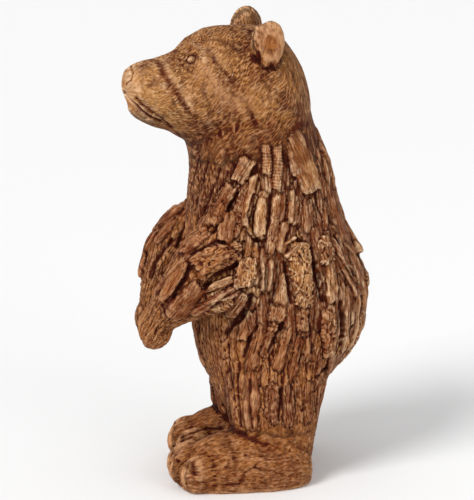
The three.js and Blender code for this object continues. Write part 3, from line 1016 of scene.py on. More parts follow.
def carved(points):
    """Height in millimetres, share of stain and share rubbed clean that the lines give to each point."""
    height, stain, rubbed = np.zeros((3, len(points)))
    for _, half_width, depth, darkness, sides, *stops in CARVED_LINES:
        line = [spot for spot in (place_at_pixel(*stop) for stop in stops) if spot is not None]
        if sides == 2:
            line = round_the_front(line[0]) + line
        for side in (1, -1) if sides else (1,):
            turned = [spot * (side, 1, 1) for spot in line]
            low = np.min(turned, axis=0) - LINE_MARGIN * MM
            high = np.max(turned, axis=0) + LINE_MARGIN * MM
            close = np.flatnonzero(np.all((points > low) & (points < high), axis=1))
            x, y, z = points[close].T / MM
            wobble = 1 + 0.35 * noise(x / 5, y / 5, z / 5)
            away = distance_to_line(points[close], turned) / (half_width * MM * wobble)
            height[close] += depth * np.exp(-away**2)
            patchy = 0.45 + 0.55 * smooth_step(-0.35, 0.3, noise(x / 2.6, y / 2.6, z / 2.6))
            kept = rubbed if darkness < 0 else stain
            kept[close] = np.maximum(kept[close], abs(darkness) * patchy * np.exp(-(away / 1.25) ** 2))
    return height, stain, rubbed


print("The mouth's corner is at", [round(v / MM) for v in place_at_pixel(160, 121)], "mm")

# %% [markdown]
# ## Grain of the bare core
# Where no board lies, the core has a grain of its own, as a carver's gouge leaves it. On each side of the
# head it follows a big wheel, from nearly level at the muzzle to steep behind the ear, and it wraps round
# the crown and under the jaw. At the nape it is upright. It runs round the feet from heel to toe, down
# the arms to the paws, and down the body. What faces straight back or forward has a grain of its own on
# the feet, because the rounds would meet there in a star.

# %% Grain of the carved parts
HEAD_WHEEL, HEAD_WHEEL_RADIUS = (-138, 546), 230
WHEEL_PITCH, CROWN_PITCH, NAPE_PITCH = 0.8, 0.9, 1.3
HEAD_HALF_WIDTH, HEAD_FOOT = 60, 352
ARM_FOOT, FEET_TOP = 145, 62
ARM_TOP, ARM_RADIUS = np.array((52, -78, 240)), 22
ARM_LINE = np.array((-0.37, -0.45, -0.82))
ARM_BACK, ARM_LIMIT = -72, 290
HEEL_LINE, FOOT_RADIUS = 14, 34
BODY_RADIUS = 80
FACES_BACK = 0.66
EAR_MIDDLE, EAR_REACH, EAR_INSIDE = (6, 474), (19, 27), 44


def carved_coordinates(places, facing):
    """(along, across, patch) in millimetres for points on the bare core and the way that they face."""
    x, y, z = places.T
    wheel_y, wheel_z = y - HEAD_WHEEL[0], z - HEAD_WHEEL[1]
    from_side = np.clip(HEAD_HALF_WIDTH - np.abs(x), 0, None)
    away = (facing[:, 1] * wheel_y + facing[:, 2] * wheel_z) / np.hypot(wheel_y, wheel_z)
    away = np.clip(away, 0, 1)
    nape = smooth_step(0.2, 0.85, facing[:, 1])
    wheel_z = wheel_z + from_side * np.minimum(facing[:, 2], 0) * (1 - nape)
    round_wheel = np.arctan2(wheel_z, wheel_y) * HEAD_WHEEL_RADIUS * WHEEL_PITCH
    rings = np.hypot(wheel_y, wheel_z) - HEAD_WHEEL_RADIUS - CROWN_PITCH * from_side * (1 - away)
    rings = rings * (1 - nape) + NAPE_PITCH * from_side * nape
    wander = 6 * noise(x / 24, y / 24, z / 24)
    head = (round_wheel, rings + wander, 1 + 0 * x)
    foot_angle = np.arctan2(z - HEEL_LINE, np.abs(x) - STANCE)
    feet = (y, foot_angle * FOOT_RADIUS, np.sign(x) + 8)
    from_shoulder = np.stack([np.abs(x), y, z], axis=1) - ARM_TOP
    first_side = np.cross(ARM_LINE, (1, 0, 0))
    second_side = np.cross(ARM_LINE, first_side)
    arm_turn = np.arctan2(from_shoulder @ second_side, from_shoulder @ first_side)
    arm = (from_shoulder @ ARM_LINE, arm_turn * ARM_RADIUS, 10 + np.sign(x))
    body_angle = np.arctan2(y - BODY_MIDDLE[1], x)
    body = (z + 6 * noise(x / 40, y / 40, z / 60), body_angle * BODY_RADIUS, 12 + 0 * x)
    upright = (z + 0.2 * x, x, 14 + 0 * x)
    level = (x, 1.6 * z, 15 + 0 * x)
    ragged_edge = 9 * noise(x / 9, y / 9, z / 9)
    is_head, is_foot = z + ragged_edge > HEAD_FOOT, z + ragged_edge < FEET_TOP
    from_ear = np.hypot((y - EAR_MIDDLE[0]) / EAR_REACH[0], (z - EAR_MIDDLE[1]) / EAR_REACH[1])
    is_ear = (from_ear < 1) & (np.abs(x) > EAR_INSIDE)
    head = [np.where(is_ear, e, h) for e, h in zip((z, y, 2 + 0 * x), head)]
    faces_back, faces_front = facing[:, 1] > FACES_BACK, facing[:, 1] < -FACES_BACK
    is_arm = (z > ARM_FOOT) & (y < ARM_BACK) & (z < ARM_LIMIT)
    chosen = [
        np.select([is_head, is_foot & faces_back, is_foot & faces_front, is_foot, is_arm], options, rest)
        for *options, rest in zip(head, level, upright, feet, arm, body)
    ]
    return np.stack(chosen, axis=1)


print("The head's grain wheel has a radius of", HEAD_WHEEL_RADIUS, "mm")

# %% [markdown]
# ## Cracks, tracks and grain
# Each kind of board has its own relief. The contour lines of slow noise make good cracks: noise that is
# stretched along the board gives splits, and noise that is the same both ways gives the winding tracks
# that beetles leave under bark. A second noise breaks the lines up, so that none closes into a ring.

# %% Grooves and strands
def contour_groove(field, lines, sharpness):
    """1 on the contour lines of a field, and 0 away from them."""
    off_line = np.abs((field * lines) % 1 - 0.5)
    return np.exp(-((off_line / sharpness) ** 2))


def strands(along, across, seed, length=60, width=6):
    """Rounded strands with sharp creases between them, from about -1 to 1."""
    sway = 0.8 * noise(along / 26, across / 26, seed + 31)
    first = np.abs(noise(along / length, across / width + sway, seed + 3))
    second = np.abs(noise(along / length * 2, across / width * 2.3 + sway, seed + 7))
    return np.minimum(1, 3.2 * first) + 0.5 * np.minimum(1, 3.2 * second) - 1


line_share = contour_groove(np.linspace(0, 1, 101), 2.0, 0.12).mean()
print("Share of a surface that a track covers:", round(float(line_share), 2))

# %% [markdown]
# Plain boards have fine ridges and long splits. Wormy ones are crumpled and tracked by beetles, cracked
# ones are broken across, ribbed ones have rounds like a threaded rod, and fibre is all strands.

# %% Relief of the boards
def board_relief(grain, sort):
    """Height in millimetres added to a board's face."""
    along, across, seed = grain.T
    kind = sort[:, 0]
    shift = seed * 13.7
    here = smooth_step(-0.25, 0.2, noise(along / 16, across / 7, shift + 21))
    there = smooth_step(-0.2, 0.25, noise(along / 9, across / 6, shift + 27))
    ridges = rough(along / 30, across / 2.4, shift)
    strand = strands(along, across, shift)
    splits = here * contour_groove(noise(along / 46, across / 5.5, shift + 5), 1.6, 0.08)
    bend = 5 * noise(along / 9, across / 9, shift + 15)
    winding = rough((along + bend) / 13, (across + bend) / 6, shift + 9, 2)
    tracks = there * contour_groove(winding, 2.0, 0.12)
    crumbs = noise((along + bend) / 5.5, (across - bend) / 3.6, shift + 19)
    crumple = 1 - np.minimum(1, 3 * np.abs(crumbs))
    cross_cracks = there * contour_groove(rough(along / 9, across / 13, shift + 11, 2), 1.5, 0.07)
    ribs = np.sin(along * 2 * np.pi / 3.2 + 2 * noise(along / 9, across / 6, shift))
    height = np.zeros(len(along))
    for name, value in {
        "plain": 0.5 * ridges + 0.45 * strand - 1.6 * splits,
        "wormy": 1.6 * crumple + 0.3 * ridges - 1.5 * tracks,
        "cracked": 0.6 * ridges + 0.6 * crumple - 1.3 * cross_cracks - 0.9 * splits,
        "ribbed": 0.25 * ribs - 1.0 * splits + 0.2 * ridges,
        "fibre": 0.9 * ridges + 1.1 * strand - 1.0 * splits,
    }.items():
        height = np.where(kind == KINDS[name], value, height)
    return height


print("Relief for", len(KINDS), "kinds of board")

# %% [markdown]
# The bare core has long strands, splits and lumps below the chin, and short gouges on the head. The feet
# are half as rough as the body, and the ankles are nearly plain.

# %% Relief of the core
def core_relief(coordinates, places):
    """Height in millimetres added to the bare core. The head and the feet are smoother than the rest."""
    along, across, patch = coordinates.T
    x, y, z = places.T
    strand = strands(along, across, patch * 5, 44, 6)
    lumps = rough(x / 12, y / 12, z / 20)
    splits = contour_groove(noise(along / 60, across / 8, patch * 3 + 50), 1.3, 0.06)
    frayed = 1 - np.minimum(1, 3 * np.abs(noise(along / 9, across / 3.4, patch * 3 + 19)))
    gouges = strands(along, across, patch * 5 + 2, 17, 5)
    smooth = 0.4 * gouges + 0.7 * lumps
    coarse = 1.15 * strand + 1.2 * lumps - 1.4 * splits + 0.6 * frayed
    below_chin = smooth_step(HEAD_FOOT + 6, HEAD_FOOT - 26, z)
    on_feet = 1 - 0.5 * smooth_step(FEET_TOP + 8, FEET_TOP - 8, z)
    at_ankle = np.exp(-(((z - FEET_TOP) / 9) ** 2))
    return (smooth + (coarse - smooth) * below_chin * on_feet) * (1 - 0.75 * at_ankle)


def neighbours_of(mesh):
    pairs = np.empty(len(mesh.edges) * 2, dtype=np.int32)
    mesh.edges.foreach_get("vertices", pairs)
    return pairs.reshape(-1, 2)


def evened(values, pairs, rounds):
    """Values averaged with their neighbours, several times over."""
    count = len(values)
    degree = np.bincount(pairs.ravel(), minlength=count)[:, None]
    held = values.reshape(count, -1).copy()
    for _ in range(rounds):
        gathered = np.stack([
            np.bincount(pairs[:, 0], held[pairs[:, 1], i], count)
            + np.bincount(pairs[:, 1], held[pairs[:, 0], i], count)
            for i in range(held.shape[1])
        ], axis=1)
        held = 0.5 * held + 0.5 * gathered / degree
    return held.reshape(values.shape)


def normals_of(mesh):
    flat = np.empty(len(mesh.vertices) * 3, dtype=np.float32)
    mesh.vertex_normals.foreach_get("vector", flat)
    return flat.reshape(-1, 3).astype(np.float64)


print("Relief of the head starts at", HEAD_FOOT, "mm")

# %% [markdown]
# Resin bridges the gaps between boards and rounds their edges. A point that lies below a smoothed copy of
# the skin is lifted half of the way to it.

# %% Fill the gaps
GAPS_FILLED = 0.5
skin_pairs = neighbours_of(bear.data)
facing = normals_of(bear.data)
below = np.sum((evened(skin_points, skin_pairs, 14) - skin_points) * facing, axis=1)
skin_points += facing * np.clip(below, 0, None)[:, None] * GAPS_FILLED
skin_points = evened(skin_points, skin_pairs, 2)
print("Filled by up to", round(float(below.max() / MM * GAPS_FILLED), 1), "mm")

# %% [markdown]
# Now each point is moved along its own normal, by the relief of its board or of the core and by the
# carved lines. The relief fades out at the soles, which lie flat on the ground, and round the eyes, which
# get a groove and a dark rim of their own. What the stain needs later is kept in the mesh.

# %% Cut the skin
PLAIN_HEIGHT = 3
FLAT_SOLE = 0.6
EYE_CLEAR = 6.5
on_board = sort[:, 0] > 0
skin_grain = carved_coordinates(skin_points / MM, evened(facing, skin_pairs, 12))
cut_height, cut_stain, rubbed = carved(skin_points)
relief = np.where(on_board, board_relief(grain, sort), core_relief(skin_grain, skin_points / MM))
relief *= smooth_step(0, PLAIN_HEIGHT, skin_points[:, 2] / MM)
turned_left = np.column_stack([np.abs(skin_points[:, 0]), skin_points[:, 1:]]) / MM
from_eye = np.linalg.norm(turned_left - eye_place, axis=1)
relief *= smooth_step(EYE_CLEAR - 2, EYE_CLEAR, from_eye)
cut_height -= 0.7 * np.exp(-((from_eye - 5) ** 2))
cut_stain = np.maximum(cut_stain, 0.75 * np.exp(-((from_eye - 4.8) ** 2) * 1.6))
cut_stain = np.maximum(cut_stain, 0.5 * np.exp(-((from_eye - 1.8) ** 2) * 4))
moved = skin_points + facing * (relief + cut_height)[:, None] * MM
moved[:, 2] = np.where(moved[:, 2] < FLAT_SOLE * MM, 0, moved[:, 2])
bear.data.vertices.foreach_set("co", moved.astype(np.float32).ravel())
bear.data.update()
write_values(bear.data, "grain", np.where(on_board[:, None], grain, skin_grain))
write_values(bear.data, "on_board", on_board.astype(float))
write_values(bear.data, "tone", sort[:, 1])
write_values(bear.data, "cut_stain", cut_stain)
write_values(bear.data, "rubbed", rubbed)
write_values(bear.data, "edge_stain", on_board * smooth_step(2.6, 0.2, sort[:, 2]))
bpy.data.objects.remove(master)
print("Relief cut", round(time.time() - STARTED, 1), "s")

# %% [markdown]
# ## Lighten the mesh
# A decimate keeps the skin under 200,000 triangles. It spends them where the surface bends, so the cracks
# stay crisp and the smooth head costs little.

# %% Decimate
MOST_TRIANGLES = 196_000


def triangles_of(mesh):
    return sum(len(p.vertices) - 2 for p in mesh.polygons)


triangles = triangles_of(bear.data)
thin = bear.modifiers.new("thin", "DECIMATE")
thin.ratio = min(1, MOST_TRIANGLES / triangles)
apply_modifiers(bear)
print(triangles, "triangles thinned to", triangles_of(bear.data), round(time.time() - STARTED, 1), "s")

# %% [markdown]
# ## Stain and painted shade
# The cast is stained dark and wiped. Stain stays in the hollows and goes from the ridges. How deep a
# point lies is found by comparing the skin with smoothed copies of itself: below the copy is a hollow,
# above it is a ridge.

# %% Hollows and ridges
ANKLE_HEIGHT, ANKLE_REACH = 56, 13


def read_values(mesh, name):
    values = np.empty(len(mesh.vertices), dtype=np.float32)
    mesh.attributes[name].data.foreach_get("value", values)
    return values.astype(np.float64)


points = points_of(bear.data)
normals = normals_of(bear.data)
pairs = neighbours_of(bear.data)


def height_over(rounds):
    """How far each point stands over a smoothed copy of the skin, in millimetres."""
    return np.sum((points - evened(points, pairs, rounds)) * normals, axis=1) / MM


fine, middling, broad = height_over(2), height_over(14), height_over(80)
cut_stain, rubbed, edge_stain = (
    read_values(bear.data, name) for name in ("cut_stain", "rubbed", "edge_stain")
)
hollow = (
    0.45 * smooth_step(0.03, 0.45, -fine)
    + 0.7 * smooth_step(0.15, 1.3, -middling)
    + 0.6 * smooth_step(0.7, 4.5, -broad)
    + 0.4 * cut_stain
)
x, y, z = points.T / MM
at_ankle = np.exp(-(((z - ANKLE_HEIGHT) / ANKLE_REACH) ** 2))
hollow *= 1 - 0.25 * at_ankle
ridge = (
    0.5 * smooth_step(0.05, 0.45, fine)
    + 0.5 * smooth_step(0.25, 1.6, middling)
    + 0.3 * rubbed
)
print("Hollow mean", round(float(hollow.mean()), 2), "ridge mean", round(float(ridge.mean()), 2))

# %% [markdown]
# The stain is uneven as well: it lies in blotches on the head, and it is darker on the neck. Painted
# shade is added to it on and under the jaw, on the nape, and towards the bottom. The ear, the sides of
# the muzzle, a flat on the cheek and the feet are rubbed smooth. The places are read off the photo as
# heights over the ground (z) and depths (y, with the nose at -137), in millimetres.

# %% Blotches of stain, and painted shade
NECK_FOOT = 330


def soft_spot(middle, reach):
    """1 in the middle of a spot seen from the side, and 0 outside it. Both are (y, z)."""
    return np.exp(-(((y - middle[0]) / reach[0]) ** 2) - ((z - middle[1]) / reach[1]) ** 2)


blotches = smooth_step(0.1, 0.5, rough(y / 20, z / 20, x / 20 + 40))
bare = 1 - read_values(bear.data, "on_board")
# Painted shade: darker on and under the jaw, on the back of the head, and towards the bottom
jaw_shade = smooth_step(402, 358, z) * smooth_step(-112, -60, y) * (z > 290) * bare
nape_shade = smooth_step(20, 60, y) * (z > NECK_FOOT) * bare
low_shade = smooth_step(210, 60, z)
# Stain in the cuts, blotches and board edges, together with the painted shade of the jaw, nape and low body
stained = (
    0.95 * cut_stain
    + np.where(z > NECK_FOOT, 0.45, 0.3) * blotches
    + 0.55 * jaw_shade
    + 0.4 * nape_shade
    + 0.2 * low_shade
    + 0.45 * edge_stain
) * (1 - 0.7 * rubbed)

ear_pad = soft_spot((5, 474), (14, 20)) * smooth_step(48, 56, np.abs(x))
muzzle_side = smooth_step(-88, -100, y) * smooth_step(400, 412, z) * smooth_step(454, 444, z)
cheek_flat = soft_spot((-18, 412), (14, 22))
nose_tip = smooth_step(-122, -131, y)
feet_and_legs = smooth_step(200, 150, z)
polished = ear_pad + 0.6 * muzzle_side + 0.5 * cheek_flat + 0.7 * nose_tip + rubbed + 0.45 * feet_and_legs
print("Blotched share", round(float(blotches.mean()), 2), "bare share", round(float(bare.mean()), 2))

# %% [markdown]
# A cooler, darker tint is laid over the lot: on the head behind the muzzle, the throat, the arms and paws,
# and from the belly down. On the throat and the neck under the head, and from the belly to the feet, it is
# painted shade. On the head, the arms, the paws and the ear it is the coat's own colour, cooler and darker
# than the boards'.

# %% Shade
is_head = (z > 350) * smooth_step(-94, -70, y)
is_neck = smooth_step(398, 366, z) * (z > 338) * bare
is_arm = smooth_step(-62, -72, y) * (z < 292) * (z > 140)
is_paw = smooth_step(208, 196, z) * smooth_step(-76, -84, y) * (z > 140)
is_throat = smooth_step(-22, -48, y) * smooth_step(352, 338, z) * smooth_step(228, 250, z) * (1 - is_arm)
is_rump = smooth_step(50, 84, y) * (z > 112)
is_low = smooth_step(214, 160, z) * (1 - is_paw) * (1 - is_rump)
is_foot = smooth_step(80, 40, z)
# Painted shade on the throat, the neck and from the belly down; a darker coat colour on the head, arms,
# paws and ear
shade = (
    0.42
    + 0.35 * is_head
    + 0.3 * is_neck
    + 0.6 * is_throat
    + 0.7 * is_low
    + 0.35 * is_foot
    + 0.58 * is_paw
    + 0.58 * is_arm * (1 - is_paw)
    + 0.3 * ear_pad
)
for name, values in {
    "shade": shade, "polished": polished, "hollow": hollow, "ridge": ridge, "stained": stained,
}.items():
    write_values(bear.data, name, np.clip(values, 0, 1))
print("Mean shade", round(float(shade.mean()), 2))

# %% [markdown]
# ## Finish
# One material stains the whole casting. Four effects are built as node groups: the grain, which draws
# streaks along a surface's own coordinates, the wash, which sinks two stains into the hollows, the dry
# brush, which lightens the ridges, and the gouge strokes of the carved parts. A few helpers make nodes
# and link them in one line each.

# %% Node helpers
def shader_colour(red, green, blue):
    """A colour as a screen shows it, 0 to 255, turned into the linear value that a shader takes."""
    return tuple(((c / 255 + 0.055) / 1.055) ** 2.4 for c in (red, green, blue)) + (1,)


def new_group(name, inputs, outputs):
    """A shader node group, its input node and its output node. Sockets are (name, kind, value)."""
    group = bpy.data.node_groups.new(name, "ShaderNodeTree")
    for label, kind, value in inputs:
        socket = group.interface.new_socket(label, in_out="INPUT", socket_type="NodeSocket" + kind)
        if value is not None:
            socket.default_value = value
    for label, kind in outputs:
        group.interface.new_socket(label, in_out="OUTPUT", socket_type="NodeSocket" + kind)
    return group, group.nodes.new("NodeGroupInput"), group.nodes.new("NodeGroupOutput")


def feed(tree, made, sources):
    """Links each of a node's inputs to a socket, or sets it to a value."""
    for name, source in sources.items():
        if isinstance(source, bpy.types.NodeSocket):
            tree.links.new(source, made.inputs[name])
        else:
            made.inputs[name].default_value = source
    return made


def node(tree, kind, sources=None, **settings):
    """A node with its settings and its inputs."""
    made = tree.nodes.new("ShaderNode" + kind)
    for name, value in settings.items():
        setattr(made, name, value)
    return feed(tree, made, sources or {})


def placed(tree, group, sources):
    """A node group set down in a tree."""
    made = tree.nodes.new("ShaderNodeGroup")
    made.node_tree = group
    return feed(tree, made, sources)


def maths(tree, operation, first, second=0.0, clamp=False):
    return node(tree, "Math", {0: first, 1: second}, operation=operation, use_clamp=clamp).outputs[0]


# A mix node holds the sockets of each kind of data in one row: these are the ones for colours
MIX_FACTOR, MIX_FIRST, MIX_SECOND, MIX_RESULT = 0, 6, 7, 2


def blended(tree, amount, first, second, mode="MIX"):
    """The second colour laid over the first."""
    mix = tree.nodes.new("ShaderNodeMix")
    mix.data_type = "RGBA"
    mix.blend_type = mode
    feed(tree, mix, {MIX_FACTOR: amount, MIX_FIRST: first, MIX_SECOND: second})
    return mix.outputs[MIX_RESULT]


def stepped(tree, value, low, high):
    """0 below low, 1 above high, and smooth between."""
    step = node(tree, "MapRange", {"Value": value, "From Min": low, "From Max": high})
    step.interpolation_type = "SMOOTHSTEP"
    return step.outputs["Result"]


print("Dark to light, a screen's 128 is", round(shader_colour(128, 128, 128)[0], 3), "to a shader")

# %% [markdown]
# The grain group stretches noise along a board's own length, and lets it waver. Its two outputs are clear
# streaks, and the bare noise as a height. The wash group lays a warm stain in the hollows and a dark one
# in the deepest. The dry brush group adds pale paint by the ridges.

# %% Grain, wash and dry brush groups
grain_group, inside, outside = new_group(
    "wood grain",
    [("Grain", "Vector", None), ("Length", "Float", 20.0), ("Width", "Float", 1.5),
     ("Waver", "Float", 0.6), ("Low", "Float", 0.4), ("High", "Float", 0.6)],
    [("Streak", "Float"), ("Height", "Float")],
)
parts = node(grain_group, "SeparateXYZ", {"Vector": inside.outputs["Grain"]})
long_way = maths(grain_group, "DIVIDE", parts.outputs["X"], inside.outputs["Length"])
short_way = maths(grain_group, "DIVIDE", parts.outputs["Y"], inside.outputs["Width"])
drift = node(grain_group, "TexNoise", {"Vector": inside.outputs["Grain"], "Scale": 0.12, "Detail": 1.0})
drift_by = maths(grain_group, "MULTIPLY", drift.outputs["Fac"], inside.outputs["Waver"])
short_way = maths(grain_group, "ADD", short_way, maths(grain_group, "MULTIPLY", drift_by, 6.0))
stretched = node(grain_group, "CombineXYZ", {"X": long_way, "Y": short_way, "Z": parts.outputs["Z"]})
streaks = node(
    grain_group, "TexNoise",
    {"Vector": stretched.outputs["Vector"], "Scale": 1.0, "Detail": 2.0, "Roughness": 0.55},
)
clear = stepped(grain_group, streaks.outputs["Fac"], inside.outputs["Low"], inside.outputs["High"])
grain_group.links.new(clear, outside.inputs["Streak"])
grain_group.links.new(streaks.outputs["Fac"], outside.inputs["Height"])

wash_group, inside, outside = new_group(
    "stain wash",
    [("Colour", "Color", None), ("Hollow", "Float", 0.0), ("Warm Stain", "Color", None),
     ("Dark Stain", "Color", None)],
    [("Colour", "Color")],
)
warm = blended(
    wash_group, stepped(wash_group, inside.outputs["Hollow"], 0.04, 0.5),
    inside.outputs["Colour"], inside.outputs["Warm Stain"],
)
deep = blended(
    wash_group, stepped(wash_group, inside.outputs["Hollow"], 0.35, 0.95),
    warm, inside.outputs["Dark Stain"],
)
wash_group.links.new(deep, outside.inputs["Colour"])

brush_group, inside, outside = new_group(
    "dry brush",
    [("Colour", "Color", None), ("Ridge", "Float", 0.0), ("Paint", "Color", None),
     ("Strength", "Float", 0.5)],
    [("Colour", "Color")],
)
amount = maths(brush_group, "MULTIPLY", inside.outputs["Ridge"], inside.outputs["Strength"], clamp=True)
brushed = blended(brush_group, amount, inside.outputs["Colour"], inside.outputs["Paint"])
brush_group.links.new(brushed, outside.inputs["Colour"])
print("Node groups:", grain_group.name, wash_group.name, brush_group.name)

# %% [markdown]
# The head and the feet are covered with short gouge strokes. A cell pattern, stretched along the grain,
# gives one stroke in the middle of each cell and a pale crest where cells meet. The more cover, the fatter
# the strokes.

# %% Gouge stroke group
hatch_group, inside, outside = new_group(
    "gouge strokes",
    [("Grain", "Vector", None), ("Spacing", "Float", 2.4), ("Length", "Float", 6.0),
     ("Cover", "Float", 0.5)],
    [("Stroke", "Float"), ("Crest", "Float")],
)
parts = node(hatch_group, "SeparateXYZ", {"Vector": inside.outputs["Grain"]})
sway = node(hatch_group, "TexNoise", {"Vector": inside.outputs["Grain"], "Scale": 0.1, "Detail": 1.0})
long_way = maths(hatch_group, "DIVIDE", parts.outputs["X"], inside.outputs["Length"])
short_way = maths(hatch_group, "DIVIDE", parts.outputs["Y"], inside.outputs["Spacing"])
swayed = maths(hatch_group, "MULTIPLY", sway.outputs["Fac"], 2.2)
short_way = maths(hatch_group, "ADD", short_way, swayed)
stroke_cell = node(hatch_group, "CombineXYZ", {"X": long_way, "Y": short_way})
cells = node(
    hatch_group, "TexVoronoi", {"Vector": stroke_cell.outputs["Vector"], "Scale": 1.0},
    voronoi_dimensions="2D",
)
from_middle = cells.outputs["Distance"]
stroke_reach = maths(hatch_group, "MULTIPLY", inside.outputs["Cover"], 0.5)
past_stroke = maths(hatch_group, "SUBTRACT", from_middle, stroke_reach)
stroke = maths(hatch_group, "SUBTRACT", 1.0, stepped(hatch_group, past_stroke, -0.04, 0.14))
hatch_group.links.new(stroke, outside.inputs["Stroke"])
hatch_group.links.new(stepped(hatch_group, from_middle, 0.48, 0.8), outside.inputs["Crest"])
print("Node group:", hatch_group.name)

# %% [markdown]
# The stains are reddish browns from warm to nearly black. The wood runs from a grey brown to a pale gold,
# and the dry brush is the palest. A tint cools the whole where the shade is laid.

# %% Colours
DARK_STAIN = shader_colour(70, 21, 2)
WARM_STAIN = shader_colour(96, 38, 9)
RED_STAIN = shader_colour(134, 66, 26)
PLUM_STAIN = shader_colour(92, 39, 18)
STROKE_STAIN = shader_colour(62, 20, 3)
BOARD_TONES = (
    (0.0, shader_colour(106, 54, 25)),
    (0.35, shader_colour(146, 86, 43)),
    (0.6, shader_colour(182, 119, 62)),
    (1.0, shader_colour(222, 165, 99)),
)
CARVED_COLOUR = shader_colour(204, 148, 80)
SHADE_TINT = shader_colour(206, 178, 161)
DRY_BRUSH = shader_colour(250, 215, 172)
SHEEN = 0.1

finish = bpy.data.materials.new("stained resin")
finish.use_nodes = True
tree = finish.node_tree
shader = tree.nodes["Principled BSDF"]
shader.inputs["Specular IOR Level"].default_value = SHEEN
print("Colours set for", finish.name)

# %% [markdown]
# The material reads what the mesh keeps for each point: the grain's direction, the tone of a board, the
# stain with its painted shade, and the rest. Three noises in the piece's own space give it clouds, mottles
# and pores.

# %% Layers and noises
def layer_value(name):
    """A number that the mesh keeps for each point."""
    return node(tree, "Attribute", attribute_name=name).outputs["Fac"]


def streaks_of(length, width, low, high, waver=0.5):
    """Streaks along the grain: how long and wide they are in millimetres, and how many there are."""
    settings = {"Grain": flow, "Length": length, "Width": width, "Low": low, "High": high, "Waver": waver}
    return placed(tree, grain_group, settings)


def share_of(value, amount):
    return maths(tree, "MULTIPLY", value, amount, clamp=True)


def layered(colour, layers):
    """A colour under layers of (where, how strong, colour), the last on top."""
    for where, strong, laid_on in layers:
        colour = blended(tree, share_of(where, strong), colour, laid_on)
    return colour


def noise_of(scale, detail, **more):
    return node(tree, "TexNoise", {"Vector": place_on_piece, "Scale": scale, "Detail": detail, **more})


def turned_over(value):
    """1 less a value."""
    return maths(tree, "SUBTRACT", 1.0, value)


flow = node(tree, "Attribute", attribute_name="grain").outputs["Vector"]
# The stain, with its painted shade under the jaw, on the nape and towards the bottom
board_share, stain_and_shade_value = layer_value("on_board"), layer_value("stained")
place_on_piece = node(tree, "TexCoord").outputs["Object"]
cloud = noise_of(38.0, 4.0, Roughness=0.6).outputs["Fac"]
mottle = noise_of(110.0, 3.0, Roughness=0.6).outputs["Fac"]
speckle = noise_of(480.0, 2.0).outputs["Fac"]
print("Nodes so far:", len(tree.nodes))

# %% [markdown]
# Each board has a tone of its own, from which a ramp picks its wood. Coarse reddish streaks, pale fibre
# and thin dark fibre run along it, and the stain with its painted shade darkens it.

# %% Finish of the boards
fibre = streaks_of(14, 0.85, 0.5, 0.59)
coarse_fibre = streaks_of(36, 2.4, 0.46, 0.6)
pale_fibre = stepped(tree, turned_over(fibre.outputs["Height"]), 0.54, 0.64)
tones = node(tree, "ValToRGB", {"Fac": layer_value("tone")})
while len(tones.color_ramp.elements) < len(BOARD_TONES):
    tones.color_ramp.elements.new(0.5)
for element, (place, colour) in zip(tones.color_ramp.elements, BOARD_TONES):
    element.position = place
    element.color = colour
board_colour = layered(tones.outputs["Color"], [
    (coarse_fibre.outputs["Streak"], 0.5, RED_STAIN),
    (pale_fibre, 0.4, DRY_BRUSH),
    (fibre.outputs["Streak"], 0.6, WARM_STAIN),
    # Stain and painted shade
    (stain_and_shade_value, 0.85, WARM_STAIN),
])
print("Board tones:", len(tones.color_ramp.elements))

# %% [markdown]
# The carved parts have short strokes of the gouge, deeper in some patches than in others, and longer
# scratches. Where the surface is polished, both fade out. A crest between two strokes is dry brushed.

# %% Finish of the carved parts
# Strokes are fatter where the stain and its painted shade lie
cover = maths(tree, "ADD", share_of(stain_and_shade_value, 0.18), 0.47)
strokes = placed(tree, hatch_group, {"Grain": flow, "Spacing": 2.2, "Length": 6.5, "Cover": cover})
scratches = streaks_of(11, 0.8, 0.53, 0.6, waver=0.12)
short_fibre = streaks_of(12, 2.4, 0.46, 0.6)
fine_fibre = streaks_of(6, 0.9, 0.5, 0.6)
pale_flecks = stepped(tree, turned_over(fine_fibre.outputs["Height"]), 0.54, 0.64)
stroke_patches = stepped(tree, cloud, 0.38, 0.56)
stroke_depth = maths(tree, "ADD", share_of(stroke_patches, 0.6), 0.4)
deep_strokes = maths(tree, "MULTIPLY", strokes.outputs["Stroke"], stroke_depth)
all_cuts = maths(tree, "MAXIMUM", deep_strokes, share_of(scratches.outputs["Streak"], 0.5))
rough_share = turned_over(share_of(layer_value("polished"), 0.92))
cuts = maths(tree, "MULTIPLY", all_cuts, rough_share)
crests = maths(tree, "MULTIPLY", share_of(strokes.outputs["Crest"], 0.42), rough_share)
carved_colour = layered(CARVED_COLOUR, [
    (short_fibre.outputs["Streak"], 0.28, RED_STAIN),
    # Stain and painted shade
    (stain_and_shade_value, 0.9, PLUM_STAIN),
    (pale_flecks, 0.3, DRY_BRUSH),
    (crests, 1.0, DRY_BRUSH),
    (cuts, 0.95, STROKE_STAIN),
])
print("Links so far:", len(tree.links))

# %% [markdown]
# Boards and carved parts share reddened clouds, plum mottles and dark pores. Then the wash sinks into the
# hollows, the dry brush catches the ridges, and the shade is laid over all.

# %% Wash, dry brush and shade
colour = layered(blended(tree, board_share, carved_colour, board_colour), [
    (stepped(tree, cloud, 0.46, 0.66), 0.5, RED_STAIN),
    (stepped(tree, mottle, 0.52, 0.66), 0.6, PLUM_STAIN),
    (stepped(tree, speckle, 0.55, 0.7), 0.5, WARM_STAIN),
])
washed = placed(tree, wash_group, {
    "Colour": colour,
    "Hollow": layer_value("hollow"),
    "Warm Stain": WARM_STAIN,
    "Dark Stain": DARK_STAIN,
})
lit_ridge = maths(tree, "MULTIPLY", layer_value("ridge"), turned_over(share_of(cuts, 0.8)))
brushed = placed(tree, brush_group, {
    "Colour": washed.outputs["Colour"],
    "Ridge": lit_ridge,
    "Paint": DRY_BRUSH,
    "Strength": 0.92,
})
